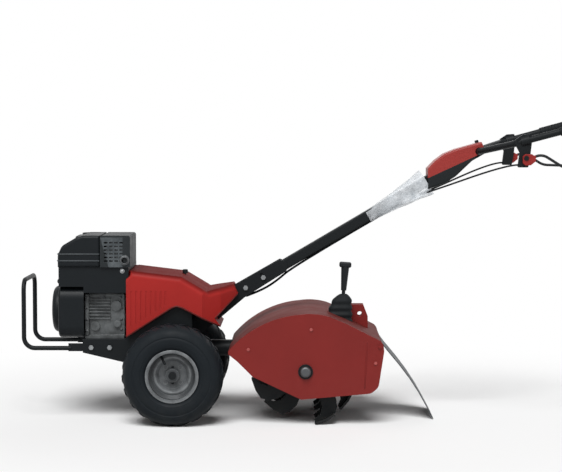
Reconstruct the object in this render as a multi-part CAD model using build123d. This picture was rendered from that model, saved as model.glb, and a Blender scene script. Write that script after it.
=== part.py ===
"""Walk-behind rear-tine rotavator, built piece by piece in millimetres.

The working frame has X = 0 at the wheel axle, +X to the rear (towards the grips), +Y to the right of the
machine and Z = 0 on the ground. Every piece is moved by X_MID at the end, so the origin is on the ground
under the middle of the whole machine.
"""
import math
import os

from build123d import *

# Fits and common hardware
RUN_GAP = 0.08          # radial running fit of shafts in bores
SEAT_GAP = 0.02         # radial fit of pieces pressed or keyed together
HOLE_GAP = 0.3          # radial play of bolts in their holes
SIDE_GAP = 0.3          # play between faces that slide past each other
BOLT_R = 5.0            # M10 frame bolts
BOLT_HEAD_R = 8.5
BOLT_HEAD_T = 6.5
SMALL_BOLT_R = 3.0      # M6 sheet bolts
SMALL_HEAD_R = 5.5
SMALL_HEAD_T = 4.0

# Wheels
TYRE_R = 165.0          # 13 x 5.00-6 tyre
TYRE_W = 127.0
TYRE_WALL = 9.0
RIM_FLANGE_R = 86.0
RIM_SEAT_R = 76.0
RIM_WELL_R = 66.0
RIM_W = 110.0
RIM_WALL = 3.0
DISH_R = 46.0           # flat middle of the wheel disc
DIMPLES = 4
DIMPLE_R = 7.0
DIMPLE_DEEP = 1.5
WHEEL_Y = 233.0         # middle plane of each wheel
AXLE_R = 12.5
AXLE_OVERHANG = 34.0    # axle beyond the wheel's middle plane
HUB_R = 22.0
HUB_IN = 45.0           # hub length towards the gear case
HUB_OUT = 24.0          # hub length away from it
HUB_PIN_R = 4.0
HUB_PIN_W = 14.0        # place of the pin along the hub, outwards

# Side plates, deck and bumper
PLATE_T = 5.0
PLATE_Y = 130.0         # outer face of the side plates
PLATE_FRONT_X = -305.0
PLATE_REAR_X = 70.0
PLATE_LOW_Z = 190.0
PLATE_FRONT_LOW_Z = 223.0
PLATE_ARCH_X = (-150.0, 56.0)   # part of the plates that stands behind the cover's wheel arches
PLATE_ARCH_Z = 392.0
DECK_Z = 267.0          # top of the engine deck
DECK_T = 6.0
DECK_REAR_X = -165.0
FRAME_BOLT_X = (-277.0, -216.0)
FRAME_BOLT_Z = 240.0
CASE_BOLTS = [(-35.0, 245.0), (45.0, 245.0)]
BUMPER_X = -500.0
BUMPER_LOW_Z = 237.0
BUMPER_TOP_Z = 461.0
BUMPER_ROD_R = 7.5
BUMPER_BEND = 36.0
TONGUE_T = 6.0
TONGUE_H = 26.0
TONGUE_FRONT_X = -345.0

# Engine
CRANK_Z = 356.0
CRANK_R = 12.5
CASE_FRONT_X = -300.0
CASE_REAR_X = -170.0
CASE_TOP_Z = 422.0
CASE_Y = 95.0
CASE_WALL = 12.0
CASE_FOOT_Y = 107.0
CASE_FOOT_T = 12.0
ENGINE_BOLTS = [(x, y) for x in (-285.0, -185.0) for y in (-84.0, 84.0)]
FAN_FRONT_X = -385.0
FAN_TOP_Z = 442.0
FAN_Y = 138.0
FAN_WALL = 3.0
FLYWHEEL_R = 72.0
RECOIL_FRONT_X = -415.0
RECOIL_R = 78.0
CYL_R = 36.0
CYL_FIN = 96.0
CYL_OUT_Y = 168.0
VALVE_COVER_T = 20.0
COWL_TOP_Z = 507.0
COWL_WALL = 3.0
TOP_Z = 611.0           # top of tank, muffler guard and air cleaner
TANK_FRONT_X = -384.0
TANK_REAR_X = -245.0
GUARD_REAR_X = -145.0
NEAR_Y = -150.0         # left face of tank and guard
TANK_RIGHT_Y = 62.0
TANK_WALL = 3.0
TANK_ROUND = 30.0       # rounding of the tank's front slope
GUARD_WALL = 2.0
GUARD_STEP = 12.0       # height from one row of slots to the next
AIR_RIGHT_Y = 172.0
CAP_R = 29.0
CAP_H = 16.0

# Belt drive
SHAFT_R = 9.0           # drive shaft under the belt, along X
BELT_X = -129.0         # middle plane of the belt
BELT_W = 13.0
BELT_T = 8.0
DRIVE_PULLEY_R = 38.0   # radius under the belt
DRIVEN_PULLEY_R = 60.0
PULLEY_LIP = 10.0
PULLEY_WALL = 4.0
IDLER_R = 20.0
IDLER_PIVOT = (102.0, 243.0)
IDLER_ARM = 70.0
IDLER_ARM_T = 5.0
IDLER_PIN_R = 5.0
IDLER_LEAN = 10.0       # degrees from upright, towards the belt

# Red cover over the belt
COVER_WALL = 2.5
COVER_Y = 150.0
COVER_TIP_Y = 46.0
COVER_ROUND = 20.0      # rounding of the long top edges
COVER_TAIL_X = 95.0     # the cover is closed below behind this
COVER_LIP_Y = 125.0     # half width of the cover's front lip, which stands against the cowl
COVER_LIP_H = 26.0
SLOT_PLAY = 2.0         # room round the handle bracket in the cover
LOUVRE_W = 5.0
LOUVRE_DEEP = 1.2
LOUVRE_STEP = 16.0
LOUVRE_COUNT = 8
KNOB_R = 9.0
KNOB_H = 13.0
KNOB_X = 26.0
KNOB_SCREW_R = 3.0

# Gear cases and drive tube
GEAR_MODULE = 3.0
WORM_R = 15.0           # pitch radius of the worms
WORM_L = 40.0
THREAD_H = 2.8          # thread height above and below the pitch line
FLANK = 0.9             # half the change of thread width over its height
GEAR_PLAY = 1.0         # play on each flank of the gear teeth
AXLE_TEETH = 30
TINE_TEETH = 22
GEAR_W = 16.0
CASE_SHELL = 8.0
CASE_PLAY = 5.0         # room between gears and case
CASE_HALF_W = 40.0
TUNNEL_R = 30.0
TUNNEL_L = 60.0
BUSH_WALL = 5.0
TUBE_WALL = 5.0
PAD_X = (14.0, 58.0)    # pad under the handle bracket
PAD_TOP_Z = 294.0
PAD_BOLTS = [(25.0, 276.0), (47.0, 276.0)]
POST_X = (404.0, 456.0)  # post that carries the hood
POST_Y = 26.0
POST_WALL = 4.0

# Tine rotor and hood
TINE_X = 430.0
TINE_SHAFT_R = 14.0
TINE_R = 180.0          # swept radius of the tine tips
TINE_T = 7.0
TINE_FOOT = 40.0        # sideways foot of each tine
TINE_TURN = 28.0        # degrees from the root to the tip, against the travel
TINE_HALF_W = 20.0
TINE_BOLT_R = 34.0      # bolt circle on the hub plates
HUB_PLATE_R = 46.0
HUB_PLATE_T = 6.0
HUB_PLATE_Y = (75.0, 130.0, 185.0)
TINES_PER_HUB = 4
HUB_STAGGER = (0.0, 30.0, 0.0)  # degrees each hub is turned ahead of the outer ones
HOOD_Y = 250.0          # outer face of the side panels
PANEL_T = 3.0
HOOD_T = 2.5
HOOD_CORNER = 30.0      # rounding of the panels' rear corners
HOOD_BOLTS = [(245.0, 249.0), (448.0, 314.0), (656.0, 205.0)]
BEARING_R = 24.0
END_NUT_R = 15.0
FLAP_W = 230.0
FLAP_T = 3.0
FLAP_ROD_R = 4.0
FLAP_KNUCKLE_R = 7.5
FLAP_HINGE = (671.0, 259.0)
HITCH_EAR_T = 8.0
HITCH_GAP = 34.0        # between the two ears
HITCH_PIN_R = 8.2
HITCH_PIN = (612.0, 342.0)

# Selector lever on the hood
LEVER_Y = -62.0
LEVER_PIVOT = (553.0, 362.0)
LEVER_R = 6.0
LEVER_TOP = (562.0, 500.0)
KNOB_TOP_Z = 519.0
BOOT_TOP_Z = 412.0
BOOT_WALL = 2.5
BOOT_HALF = 46.0        # half length of the boot's foot
LEVER_PIN_R = 4.0

# Handle
HANDLE_PIVOT = (230.0, 429.0)
HANDLE_SLOPE = 30.5     # degrees
COLUMN_H = 35.0
COLUMN_Y = 22.0         # half width
COLUMN_WALL = 3.0
COLUMN_END = 885.0      # along the column from the pivot
COLUMN_FOOT = 28.0      # behind the pivot
BRACKET_T = 5.0
LOCK_DIST = 69.0        # lock bolt from the pivot bolt
LOCK_DOWN = 6.0         # degrees of height setting, down and up
LOCK_UP = 10.0
ARM_R = 11.0
ARM_WALL = 2.5
GRIP_R = 14.0
GRIP_L = 150.0
GRIP_END = (1390.0, 250.0, 989.0)
ARM_BEND = (1110.0, 215.0, 914.0)
ARM_ROOT_Y = 60.0
ARM_BENDS = (40.0, 30.0)  # radii of the arm's two bends
YOKE_L = 30.0
YOKE_PLUG = 40.0        # yoke inside the column
GRIP_CAP = 4.0
CONSOLE_Y = 52.0
CONSOLE_WALL = 3.0
CONSOLE_EDGE = 7.0      # rounding of the console's long edges
LEVER_PLATE_T = 12.0
CLUTCH_PIN = (1138.0, 866.0)
CLUTCH_PIN_R = 4.0
CLUTCH_ROD_R = 4.5
BOSS_T = 16.0
LEVER_DROP = 30.0       # steel lever below its pin at rest
LEVER_L = 205.0
SLIDE_TRAVEL = 24.0
CABLE_R = 3.0
FILM_START = 472.0      # along the column from the pivot
FILM_END = 745.0
FILM_CUT_X = 835.0      # film ends just before the console
FILM_T = 1.2

# Values that follow from the sizes above
AXLE_Z = TYRE_R
PITCH = math.pi * GEAR_MODULE
AXLE_GEAR_R = GEAR_MODULE * AXLE_TEETH / 2
TINE_GEAR_R = GEAR_MODULE * TINE_TEETH / 2
SHAFT_Z = AXLE_Z + AXLE_GEAR_R + WORM_R
TINE_Z = SHAFT_Z - WORM_R - TINE_GEAR_R
PLATE_IN = PLATE_Y - PLATE_T
ENGINE_Z = DECK_Z
SLOPE = math.radians(HANDLE_SLOPE)
BRACKET_IN = COLUMN_Y + SIDE_GAP
BRACKET_OUT = BRACKET_IN + BRACKET_T
FRONT_X = BUMPER_X - BUMPER_ROD_R
GRIP_SLOPE = math.atan2(GRIP_END[2] - ARM_BEND[2], GRIP_END[0] - ARM_BEND[0])
REAR_X = GRIP_END[0] + GRIP_R * math.sin(GRIP_SLOPE)
X_MID = (FRONT_X + REAR_X) / 2

PARTS = {}


def keep(name, *solids):
    """Store one node: a single solid, or a group of separate identical pieces."""
    PARTS[name] = solids[0] if len(solids) == 1 else Compound(children=list(solids))


def block(x0, x1, y0, y1, z0, z1):
    """Box between two corners."""
    return Pos((x0 + x1) / 2, (y0 + y1) / 2, (z0 + z1) / 2) * Box(x1 - x0, y1 - y0, z1 - z0)


def rod_x(x0, x1, y, z, r):
    """Round bar along X."""
    return Pos((x0 + x1) / 2, y, z) * Rot(0, 90, 0) * Cylinder(r, x1 - x0)


def rod_y(x, y0, y1, z, r):
    """Round bar along Y."""
    return Pos(x, (y0 + y1) / 2, z) * Rot(90, 0, 0) * Cylinder(r, abs(y1 - y0))


def rod_z(x, y, z0, z1, r):
    """Round bar along Z."""
    return Pos(x, y, (z0 + z1) / 2) * Cylinder(r, z1 - z0)


def outline(points):
    """Flat face in the XZ plane from corner points."""
    return make_face(Polyline(*[(x, 0, z) for x, z in points], close=True))


def slab(face, y0, y1):
    """Extrude an XZ face from y0 to y1."""
    return extrude(Pos(0, y0, 0) * face, amount=y1 - y0, dir=(0, 1, 0))


def plate(points, y0, y1):
    """Plate with the given XZ corners between two Y faces."""
    return slab(outline(points), y0, y1)


def bent_rod(points, radii, r, bore=0.0):
    """Round rod or tube along straight runs joined by tangent arcs."""
    path = FilletPolyline(*points, radius=radii)
    start = Plane(origin=path @ 0, z_dir=path % 0)
    section = start * Circle(r)
    if bore:
        section -= start * Circle(bore)
    return sweep(section, path=path)


def turned(profile, x, y, z):
    """Solid of revolution about a Y axis: profile corners are (radius, distance along Y)."""
    face = make_face(Polyline(*[(r, w, 0) for r, w in profile], close=True))
    return Pos(x, y, z) * revolve(face, axis=Axis.Y)


def flip(shape):
    """Mirror a left piece to the right side."""
    return mirror(shape, about=Plane.XZ)


def hex_head(r, height):
    """Hexagon prism that stands on the XY plane."""
    return extrude(RegularPolygon(r, 6), amount=height)


def bolt_y(x, z, y_head, y_end, r, head_r, head_t):
    """Hex bolt along Y, with its head outside y_head and a nut outside y_end."""
    out = 1 if y_head > y_end else -1
    shank = rod_y(x, y_head, y_end, z, r)
    hexagon = hex_head(head_r, head_t)
    turn = Rot(-90 * out, 0, 0)
    head = Pos(x, y_head, z) * turn * hexagon
    nut = Pos(x, y_end - out * head_t, z) * turn * hexagon
    return shank + head + nut


def on_column(s, h, y=0.0):
    """Point at distance s along the handle column and h square to it, upwards."""
    x = HANDLE_PIVOT[0] + s * math.cos(SLOPE) - h * math.sin(SLOPE)
    z = HANDLE_PIVOT[1] + s * math.sin(SLOPE) + h * math.cos(SLOPE)
    return (x, y, z)


def column_plate(points, y0, y1):
    """Plate whose corners are given along and square to the handle column."""
    flat = [on_column(s, h) for s, h in points]
    return plate([(x, z) for x, _, z in flat], y0, y1)


def column_bar(s0, s1, half_high, half_wide):
    """Square-edged bar on the line of the handle column."""
    corners = [(s0, -half_high), (s1, -half_high), (s1, half_high), (s0, half_high)]
    return column_plate(corners, -half_wide, half_wide)


# Side plates: the engine bolts to the front end, the wheel gear case hangs at the rear end
plate_corners = [
    (PLATE_FRONT_X, DECK_Z),
    (PLATE_FRONT_X, PLATE_FRONT_LOW_Z),
    (DECK_REAR_X, PLATE_LOW_Z),
    (PLATE_REAR_X, PLATE_LOW_Z),
    (PLATE_REAR_X, DECK_Z),
    (PLATE_ARCH_X[1], DECK_Z),
    (PLATE_ARCH_X[1], PLATE_ARCH_Z - 20),
    (26.0, PLATE_ARCH_Z),
    (-12.0, PLATE_ARCH_Z),
    (PLATE_ARCH_X[0], 298.0),
    (DECK_REAR_X, DECK_Z),
]
side_plate = plate(plate_corners, PLATE_IN, PLATE_Y)
for bolt_x in FRAME_BOLT_X:
    side_plate -= rod_y(bolt_x, PLATE_IN - 1, PLATE_Y + 1, FRAME_BOLT_Z, BOLT_R + HOLE_GAP)
for bolt_x, bolt_z in CASE_BOLTS:
    side_plate -= rod_y(bolt_x, PLATE_IN - 1, PLATE_Y + 1, bolt_z, BOLT_R + HOLE_GAP)
left_plate = flip(side_plate)

# Deck: a plate with a turned-down flange on each side
deck = block(PLATE_FRONT_X, DECK_REAR_X, -PLATE_IN, PLATE_IN, DECK_Z - DECK_T, DECK_Z)
flange_x = FRAME_BOLT_X[1]
flange = block(flange_x - 25, flange_x + 25, PLATE_IN - DECK_T, PLATE_IN,
               FRAME_BOLT_Z - 14, DECK_Z - DECK_T)
flange -= rod_y(flange_x, PLATE_IN - DECK_T - 1, PLATE_IN + 1, FRAME_BOLT_Z, BOLT_R + HOLE_GAP)
deck = deck + flange + flip(flange)
for bolt_x, bolt_y_at in ENGINE_BOLTS:
    deck -= rod_z(bolt_x, bolt_y_at, DECK_Z - DECK_T - 1, DECK_Z + 1, SMALL_BOLT_R + 1 + HOLE_GAP)
keep("engine_deck", deck)

# Bumper hoop: one bent rod, with a flattened tongue bolted inside each side plate
rail_y = PLATE_IN - TONGUE_T / 2
hoop_points = [
    (TONGUE_FRONT_X, -rail_y, BUMPER_LOW_Z),
    (BUMPER_X, -rail_y, BUMPER_LOW_Z),
    (BUMPER_X, -rail_y, BUMPER_TOP_Z),
    (BUMPER_X, rail_y, BUMPER_TOP_Z),
    (BUMPER_X, rail_y, BUMPER_LOW_Z),
    (TONGUE_FRONT_X, rail_y, BUMPER_LOW_Z),
]
hoop = bent_rod(hoop_points, BUMPER_BEND, BUMPER_ROD_R)
tongue_rear = FRAME_BOLT_X[0] + 16
tongue = block(TONGUE_FRONT_X - 8, tongue_rear, PLATE_IN - TONGUE_T, PLATE_IN,
               FRAME_BOLT_Z - TONGUE_H / 2, FRAME_BOLT_Z + TONGUE_H / 2)
tongue -= rod_y(FRAME_BOLT_X[0], PLATE_IN - TONGUE_T - 1, PLATE_IN + 1, FRAME_BOLT_Z, BOLT_R + HOLE_GAP)
keep("front_bumper", hoop + tongue + flip(tongue))

frame_bolts = []
for bolt_x, inner in zip(FRAME_BOLT_X, (TONGUE_T, DECK_T)):
    bolt = bolt_y(bolt_x, FRAME_BOLT_Z, PLATE_Y, PLATE_IN - inner, BOLT_R, BOLT_HEAD_R, BOLT_HEAD_T)
    frame_bolts += [bolt, flip(bolt)]

# Crankcase: cast box with feet, near-side cooling ribs, bearing bosses and an oil plug boss
case = block(CASE_FRONT_X, CASE_REAR_X, -CASE_Y, CASE_Y, ENGINE_Z, CASE_TOP_Z)
case = fillet(case.edges().filter_by(Axis.X), CASE_WALL)
case += block(CASE_FRONT_X, CASE_REAR_X, -CASE_FOOT_Y, CASE_FOOT_Y, ENGINE_Z, ENGINE_Z + CASE_FOOT_T)
case += rod_x(CASE_FRONT_X, CASE_REAR_X, 0, CRANK_Z, CRANK_R + 16)
rib_top = CASE_TOP_Z - 24
rib_count = 7
for rib in range(rib_count):
    rib_z = CRANK_Z - 22 + rib * (rib_top - CRANK_Z + 22) / (rib_count - 1)
    case += block(CASE_FRONT_X + 6, CASE_REAR_X - 46, -CASE_Y - 9, -CASE_Y + 2, rib_z - 1.6, rib_z + 1.6)
case += rod_y(CASE_FRONT_X + 34, -CASE_Y - 9, -CASE_Y + 2, CRANK_Z - 48, 15)
case += rod_y(CASE_REAR_X - 26, -CASE_Y - 9, -CASE_Y + 2, CRANK_Z + 20, 17)
case += rod_y(CASE_REAR_X - 22, -CASE_Y - 11, -CASE_Y + 2, CRANK_Z - 40, 11)
case -= block(CASE_FRONT_X + CASE_WALL, CASE_REAR_X - CASE_WALL, -CASE_Y + CASE_WALL, CASE_Y - CASE_WALL,
              ENGINE_Z + CASE_FOOT_T, CASE_TOP_Z - CASE_WALL)
case -= rod_x(CASE_FRONT_X - 1, CASE_REAR_X + 1, 0, CRANK_Z, CRANK_R + RUN_GAP)
case -= rod_y((CASE_FRONT_X + CASE_REAR_X) / 2, 0, CASE_Y + 1, CRANK_Z, CYL_R - 6)
for bolt_x, bolt_y_at in ENGINE_BOLTS:
    case -= rod_z(bolt_x, bolt_y_at, ENGINE_Z - 1, ENGINE_Z + CASE_FOOT_T, SMALL_BOLT_R + 1 + HOLE_GAP)

engine_bolts = []
for bolt_x, bolt_y_at in ENGINE_BOLTS:
    shank = rod_z(bolt_x, bolt_y_at, DECK_Z - DECK_T, ENGINE_Z + CASE_FOOT_T - 1, SMALL_BOLT_R + 1)
    under = DECK_Z - DECK_T - SMALL_HEAD_T
    head = Pos(bolt_x, bolt_y_at, under) * hex_head(SMALL_HEAD_R + 2, SMALL_HEAD_T)
    engine_bolts.append(shank + head)

# Finned cylinder cast to the right of the case, with the valve cover on its end
cyl_x = (CASE_FRONT_X + CASE_REAR_X) / 2
barrel = rod_y(cyl_x, CASE_Y, CYL_OUT_Y, CRANK_Z, CYL_R)
fin_count = 6
for fin in range(fin_count):
    fin_y = CASE_Y + 4 + fin * (CYL_OUT_Y - CASE_Y - 30) / (fin_count - 1)
    half = CYL_FIN / 2
    tall = half * 0.85
    barrel += block(cyl_x - half, cyl_x + half, fin_y, fin_y + 3, CRANK_Z - tall, CRANK_Z + tall)
barrel += block(cyl_x - 46, cyl_x + 46, CYL_OUT_Y - 20, CYL_OUT_Y, CRANK_Z - 40, CRANK_Z + 40)
barrel -= rod_y(cyl_x, CASE_Y - 1, CYL_OUT_Y - 18, CRANK_Z, CYL_R - 6)
cover_box = block(cyl_x - 40, cyl_x + 40, CYL_OUT_Y, CYL_OUT_Y + VALVE_COVER_T, CRANK_Z - 34, CRANK_Z + 34)
cover_box = fillet(cover_box.edges().filter_by(Axis.Y), 9)
cover_box = fillet(cover_box.faces().sort_by(Axis.Y)[-1].edges(), 6)
cover_box -= block(cyl_x - 37, cyl_x + 37, CYL_OUT_Y - 1, CYL_OUT_Y + VALVE_COVER_T - 3,
                   CRANK_Z - 31, CRANK_Z + 31)
keep("engine_block", case + barrel + cover_box)

# Fan housing: open box behind, round mouth in front; the recoil cover closes the mouth
fan = block(FAN_FRONT_X, CASE_FRONT_X, -FAN_Y, FAN_Y, ENGINE_Z + 4, FAN_TOP_Z)
fan = fillet(fan.edges().filter_by(Axis.X), 40)
fan = fillet(fan.faces().sort_by(Axis.X)[0].edges(), 8)
room = block(FAN_FRONT_X + FAN_WALL, CASE_FRONT_X + 1, -FAN_Y + FAN_WALL, FAN_Y - FAN_WALL,
             ENGINE_Z + 4 + FAN_WALL, FAN_TOP_Z - FAN_WALL)
fan -= fillet(room.edges().filter_by(Axis.X), 40 - FAN_WALL)
fan -= rod_x(FAN_FRONT_X - 1, FAN_FRONT_X + FAN_WALL + 1, 0, CRANK_Z, RECOIL_R - 10)
keep("fan_housing", fan)
recoil = rod_x(RECOIL_FRONT_X, FAN_FRONT_X, 0, CRANK_Z, RECOIL_R)
recoil = fillet(recoil.faces().sort_by(Axis.X)[0].edges(), 18)
recoil -= rod_x(RECOIL_FRONT_X + FAN_WALL, FAN_FRONT_X + 1, 0, CRANK_Z, RECOIL_R - 18)
for step in range(12):
    slot = block(RECOIL_FRONT_X - 1, RECOIL_FRONT_X + FAN_WALL + 1, -2.5, 2.5, 30, RECOIL_R - 24)
    recoil -= Pos(0, 0, CRANK_Z) * Rot(step * 30 + 15, 0, 0) * slot
keep("recoil_cover", recoil)
grip_y = RECOIL_R * 0.72
grip = rod_z(RECOIL_FRONT_X + 15, grip_y, CRANK_Z + 40, CRANK_Z + 84, 5)
grip += rod_y(RECOIL_FRONT_X + 15, grip_y - 32, grip_y + 32, CRANK_Z + 90, 9)
keep("recoil_grip", grip - rod_x(RECOIL_FRONT_X - 1, FAN_FRONT_X + 1, 0, CRANK_Z, RECOIL_R + SEAT_GAP))

# Cowl over the cylinder, then tank, muffler with guard and air cleaner on top of it
cowl_left = NEAR_Y + 10
cowl_right = CYL_OUT_Y - 26
cowl_front = TANK_FRONT_X + 2
cowl_rear = CASE_REAR_X + 18
cowl = block(CASE_FRONT_X, cowl_rear, cowl_left, cowl_right, CASE_TOP_Z, COWL_TOP_Z)
cowl += block(cowl_front, CASE_FRONT_X, cowl_left, cowl_right, FAN_TOP_Z, COWL_TOP_Z)
room_y = (cowl_left + COWL_WALL, cowl_right - COWL_WALL)
room_top = COWL_TOP_Z - COWL_WALL
cowl -= block(CASE_FRONT_X + COWL_WALL, cowl_rear - COWL_WALL, *room_y, CASE_TOP_Z - 1, room_top)
cowl -= block(cowl_front + COWL_WALL, CASE_FRONT_X + COWL_WALL + 1, *room_y, FAN_TOP_Z + COWL_WALL, room_top)
keep("cylinder_cowl", cowl)

tank_corners = [
    (TANK_FRONT_X, COWL_TOP_Z),
    (TANK_FRONT_X, COWL_TOP_Z + 40),
    (TANK_FRONT_X + 14, COWL_TOP_Z + 70),
    (TANK_FRONT_X + 62, TOP_Z - 6),
    (TANK_FRONT_X + 84, TOP_Z),
    (TANK_REAR_X, TOP_Z),
    (TANK_REAR_X, COWL_TOP_Z),
]
tank_face = outline(tank_corners)
tank_bends = [v for v in tank_face.vertices() if v.X < TANK_REAR_X - 1 and v.Z > COWL_TOP_Z + 1]
tank_face = fillet(tank_bends, TANK_ROUND)
tank = slab(tank_face, NEAR_Y, TANK_RIGHT_Y)
tank = fillet(tank.faces().sort_by(Axis.Y)[0].edges(), 9)
tank -= slab(offset(tank_face, amount=-TANK_WALL), NEAR_Y + TANK_WALL, TANK_RIGHT_Y - TANK_WALL)
cap_x = (TANK_FRONT_X + TANK_REAR_X) / 2 + 26
cap_y = TANK_RIGHT_Y - CAP_R - 14
cap_well_z = TOP_Z - CAP_H
tank += rod_z(cap_x, cap_y, cap_well_z - TANK_WALL, TOP_Z, CAP_R + TANK_WALL + 1)
tank -= rod_z(cap_x, cap_y, cap_well_z, TOP_Z + 1, CAP_R + 1)
tank -= rod_z(cap_x, cap_y, cap_well_z - TANK_WALL - 1, cap_well_z + 1, CAP_R - 12)
keep("fuel_tank", tank)
cap = rod_z(cap_x, cap_y, cap_well_z + SIDE_GAP, TOP_Z - 1, CAP_R)
cap = fillet(cap.faces().sort_by(Axis.Z)[-1].edges(), 3)
for step in range(10):
    notch = rod_z(CAP_R + 1, 0, cap_well_z + 4, TOP_Z, 3)
    cap -= Pos(cap_x, cap_y, 0) * Rot(0, 0, step * 36) * notch
cap += rod_z(cap_x, cap_y, cap_well_z - TANK_WALL - 6, cap_well_z + 1, CAP_R - 12 - SIDE_GAP)
keep("fuel_cap", cap)

guard = block(TANK_REAR_X + 1, GUARD_REAR_X, NEAR_Y, TANK_RIGHT_Y, COWL_TOP_Z, TOP_Z)
guard = fillet(guard.edges().filter_by(Axis.Y).group_by(Axis.Z)[-1], 8)
guard -= block(TANK_REAR_X + 1 + GUARD_WALL, GUARD_REAR_X - GUARD_WALL, NEAR_Y + GUARD_WALL,
               TANK_RIGHT_Y - GUARD_WALL, COWL_TOP_Z - 1, TOP_Z - GUARD_WALL)
guard_rows = int((TOP_Z - COWL_TOP_Z - 30) / GUARD_STEP)
for row in range(guard_rows):
    row_z = COWL_TOP_Z + 18 + row * GUARD_STEP
    for column in range(4):
        col_x = TANK_REAR_X + 14 + column * 17
        guard -= block(col_x, col_x + 12, NEAR_Y - 1, NEAR_Y + GUARD_WALL + 1, row_z, row_z + 5)
keep("muffler_guard", guard)
muffler_mid_x = (TANK_REAR_X + GUARD_REAR_X) / 2
muffler_mid_z = (COWL_TOP_Z + TOP_Z) / 2
muffler = rod_y(muffler_mid_x, NEAR_Y + 12, TANK_RIGHT_Y - 12, muffler_mid_z, 38)
muffler = fillet(muffler.edges(), 8)
muffler += block(muffler_mid_x - 16, muffler_mid_x + 16, -40, 20, COWL_TOP_Z, muffler_mid_z)
keep("muffler", muffler)

air_box = block(TANK_FRONT_X + 30, GUARD_REAR_X - 40, TANK_RIGHT_Y + 6, AIR_RIGHT_Y, COWL_TOP_Z, TOP_Z - 14)
air_box = fillet(air_box.edges().filter_by(Axis.Z), 14)
air_box = fillet(air_box.faces().sort_by(Axis.Z)[-1].edges(), 8)
air_box -= block(TANK_FRONT_X + 34, GUARD_REAR_X - 44, TANK_RIGHT_Y + 10, AIR_RIGHT_Y - 4,
                 COWL_TOP_Z - 1, TOP_Z - 22)
keep("air_cleaner", air_box)

# Crankshaft through the case, with fan flywheel in front and belt pulley behind
crank_front = FAN_FRONT_X + 14
crank_rear = BELT_X + BELT_W / 2 + PULLEY_WALL
crank = rod_x(crank_front, crank_rear, 0, CRANK_Z, CRANK_R)
crank_mid = (CASE_FRONT_X + CASE_REAR_X) / 2
for side in (-1, 1):
    web_x = crank_mid + side * 22
    crank += rod_x(web_x - 8, web_x + 8, 0, CRANK_Z, 44)
keep("crankshaft", crank)
fly_rear = CASE_FRONT_X - 6
flywheel = rod_x(fly_rear - 26, fly_rear, 0, CRANK_Z, FLYWHEEL_R)
for blade in range(16):
    vane = block(fly_rear - 44, fly_rear - 26, -1.5, 1.5, FLYWHEEL_R - 30, FLYWHEEL_R - 2)
    flywheel += Pos(0, 0, CRANK_Z) * Rot(blade * 22.5, 0, 0) * vane
keep("flywheel_fan", flywheel - rod_x(fly_rear - 45, fly_rear + 1, 0, CRANK_Z, CRANK_R + SEAT_GAP))


def pulley(y, z, floor_r, bore_r):
    """Grooved pulley about an X axis; the belt runs on floor_r with a running gap."""
    half = BELT_W / 2 + SIDE_GAP
    wheel = rod_x(BELT_X - half - PULLEY_WALL, BELT_X + half + PULLEY_WALL, y, z, floor_r + PULLEY_LIP)
    wheel -= (rod_x(BELT_X - half, BELT_X + half, y, z, floor_r + PULLEY_LIP + 1)
              - rod_x(BELT_X - half, BELT_X + half, y, z, floor_r - SIDE_GAP))
    return wheel - rod_x(BELT_X - half - 9, BELT_X + half + 9, y, z, bore_r)


def belt_loop(r_extra):
    """Solid filling the belt loop: tangent hull of the two pulley circles."""
    circles = (Pos(0, CRANK_Z) * Circle(DRIVE_PULLEY_R + r_extra)
               + Pos(0, SHAFT_Z) * Circle(DRIVEN_PULLEY_R + r_extra))
    face = make_hull(circles.edges())
    return Pos(BELT_X - BELT_W / 2, 0, 0) * extrude(Plane.YZ * face, amount=BELT_W)


keep("drive_pulley", pulley(0, CRANK_Z, DRIVE_PULLEY_R, CRANK_R + SEAT_GAP))
keep("driven_pulley", pulley(0, SHAFT_Z, DRIVEN_PULLEY_R, SHAFT_R + SEAT_GAP))
belt = belt_loop(BELT_T) - belt_loop(0)
keep("drive_belt", belt)

# Idler that tightens the belt: lug welded to the right plate, swinging arm, free pulley
pin_front = BELT_X - BELT_W / 2 - PULLEY_WALL - SIDE_GAP - 2 * IDLER_ARM_T - 3
arm_x0 = pin_front + IDLER_ARM_T + SIDE_GAP
arm_x1 = arm_x0 + IDLER_ARM_T
pivot_y, pivot_z = IDLER_PIVOT
lug = block(pin_front, pin_front + IDLER_ARM_T, pivot_y - 14, PLATE_IN, pivot_z - 14, pivot_z + 14)
lug += rod_x(pin_front, arm_x1 + SIDE_GAP, pivot_y, pivot_z, IDLER_PIN_R)
lug += rod_x(arm_x1 + SIDE_GAP, arm_x1 + SIDE_GAP + 3, pivot_y, pivot_z, IDLER_PIN_R + 4)
keep("frame_plates", side_plate + lug, left_plate)
lean = math.radians(IDLER_LEAN)
idler_y = pivot_y - IDLER_ARM * math.sin(lean)
idler_z = pivot_z + IDLER_ARM * math.cos(lean)
bar = Pos(arm_x0, pivot_y, pivot_z) * Rot(IDLER_LEAN, 0, 0) * block(0, IDLER_ARM_T, -9, 9, 0, IDLER_ARM)
bar += rod_x(arm_x0, arm_x1, pivot_y, pivot_z, 12) + rod_x(arm_x0, arm_x1, idler_y, idler_z, 12)
bar -= rod_x(arm_x0 - 1, arm_x1 + 1, pivot_y, pivot_z, IDLER_PIN_R + RUN_GAP)
idler_end = BELT_X + BELT_W / 2 + PULLEY_WALL + 2 * SIDE_GAP
bar += rod_x(arm_x1, idler_end, idler_y, idler_z, IDLER_PIN_R)
bar += rod_x(idler_end, idler_end + 3, idler_y, idler_z, IDLER_PIN_R + 4)
keep("idler_arm", bar)
roller_half = BELT_W / 2 + PULLEY_WALL
roller = rod_x(BELT_X - roller_half, BELT_X + roller_half, idler_y, idler_z, IDLER_R)
roller -= rod_x(BELT_X - 40, BELT_X + 40, idler_y, idler_z, IDLER_PIN_R + RUN_GAP)
keep("idler_pulley", roller)

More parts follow.
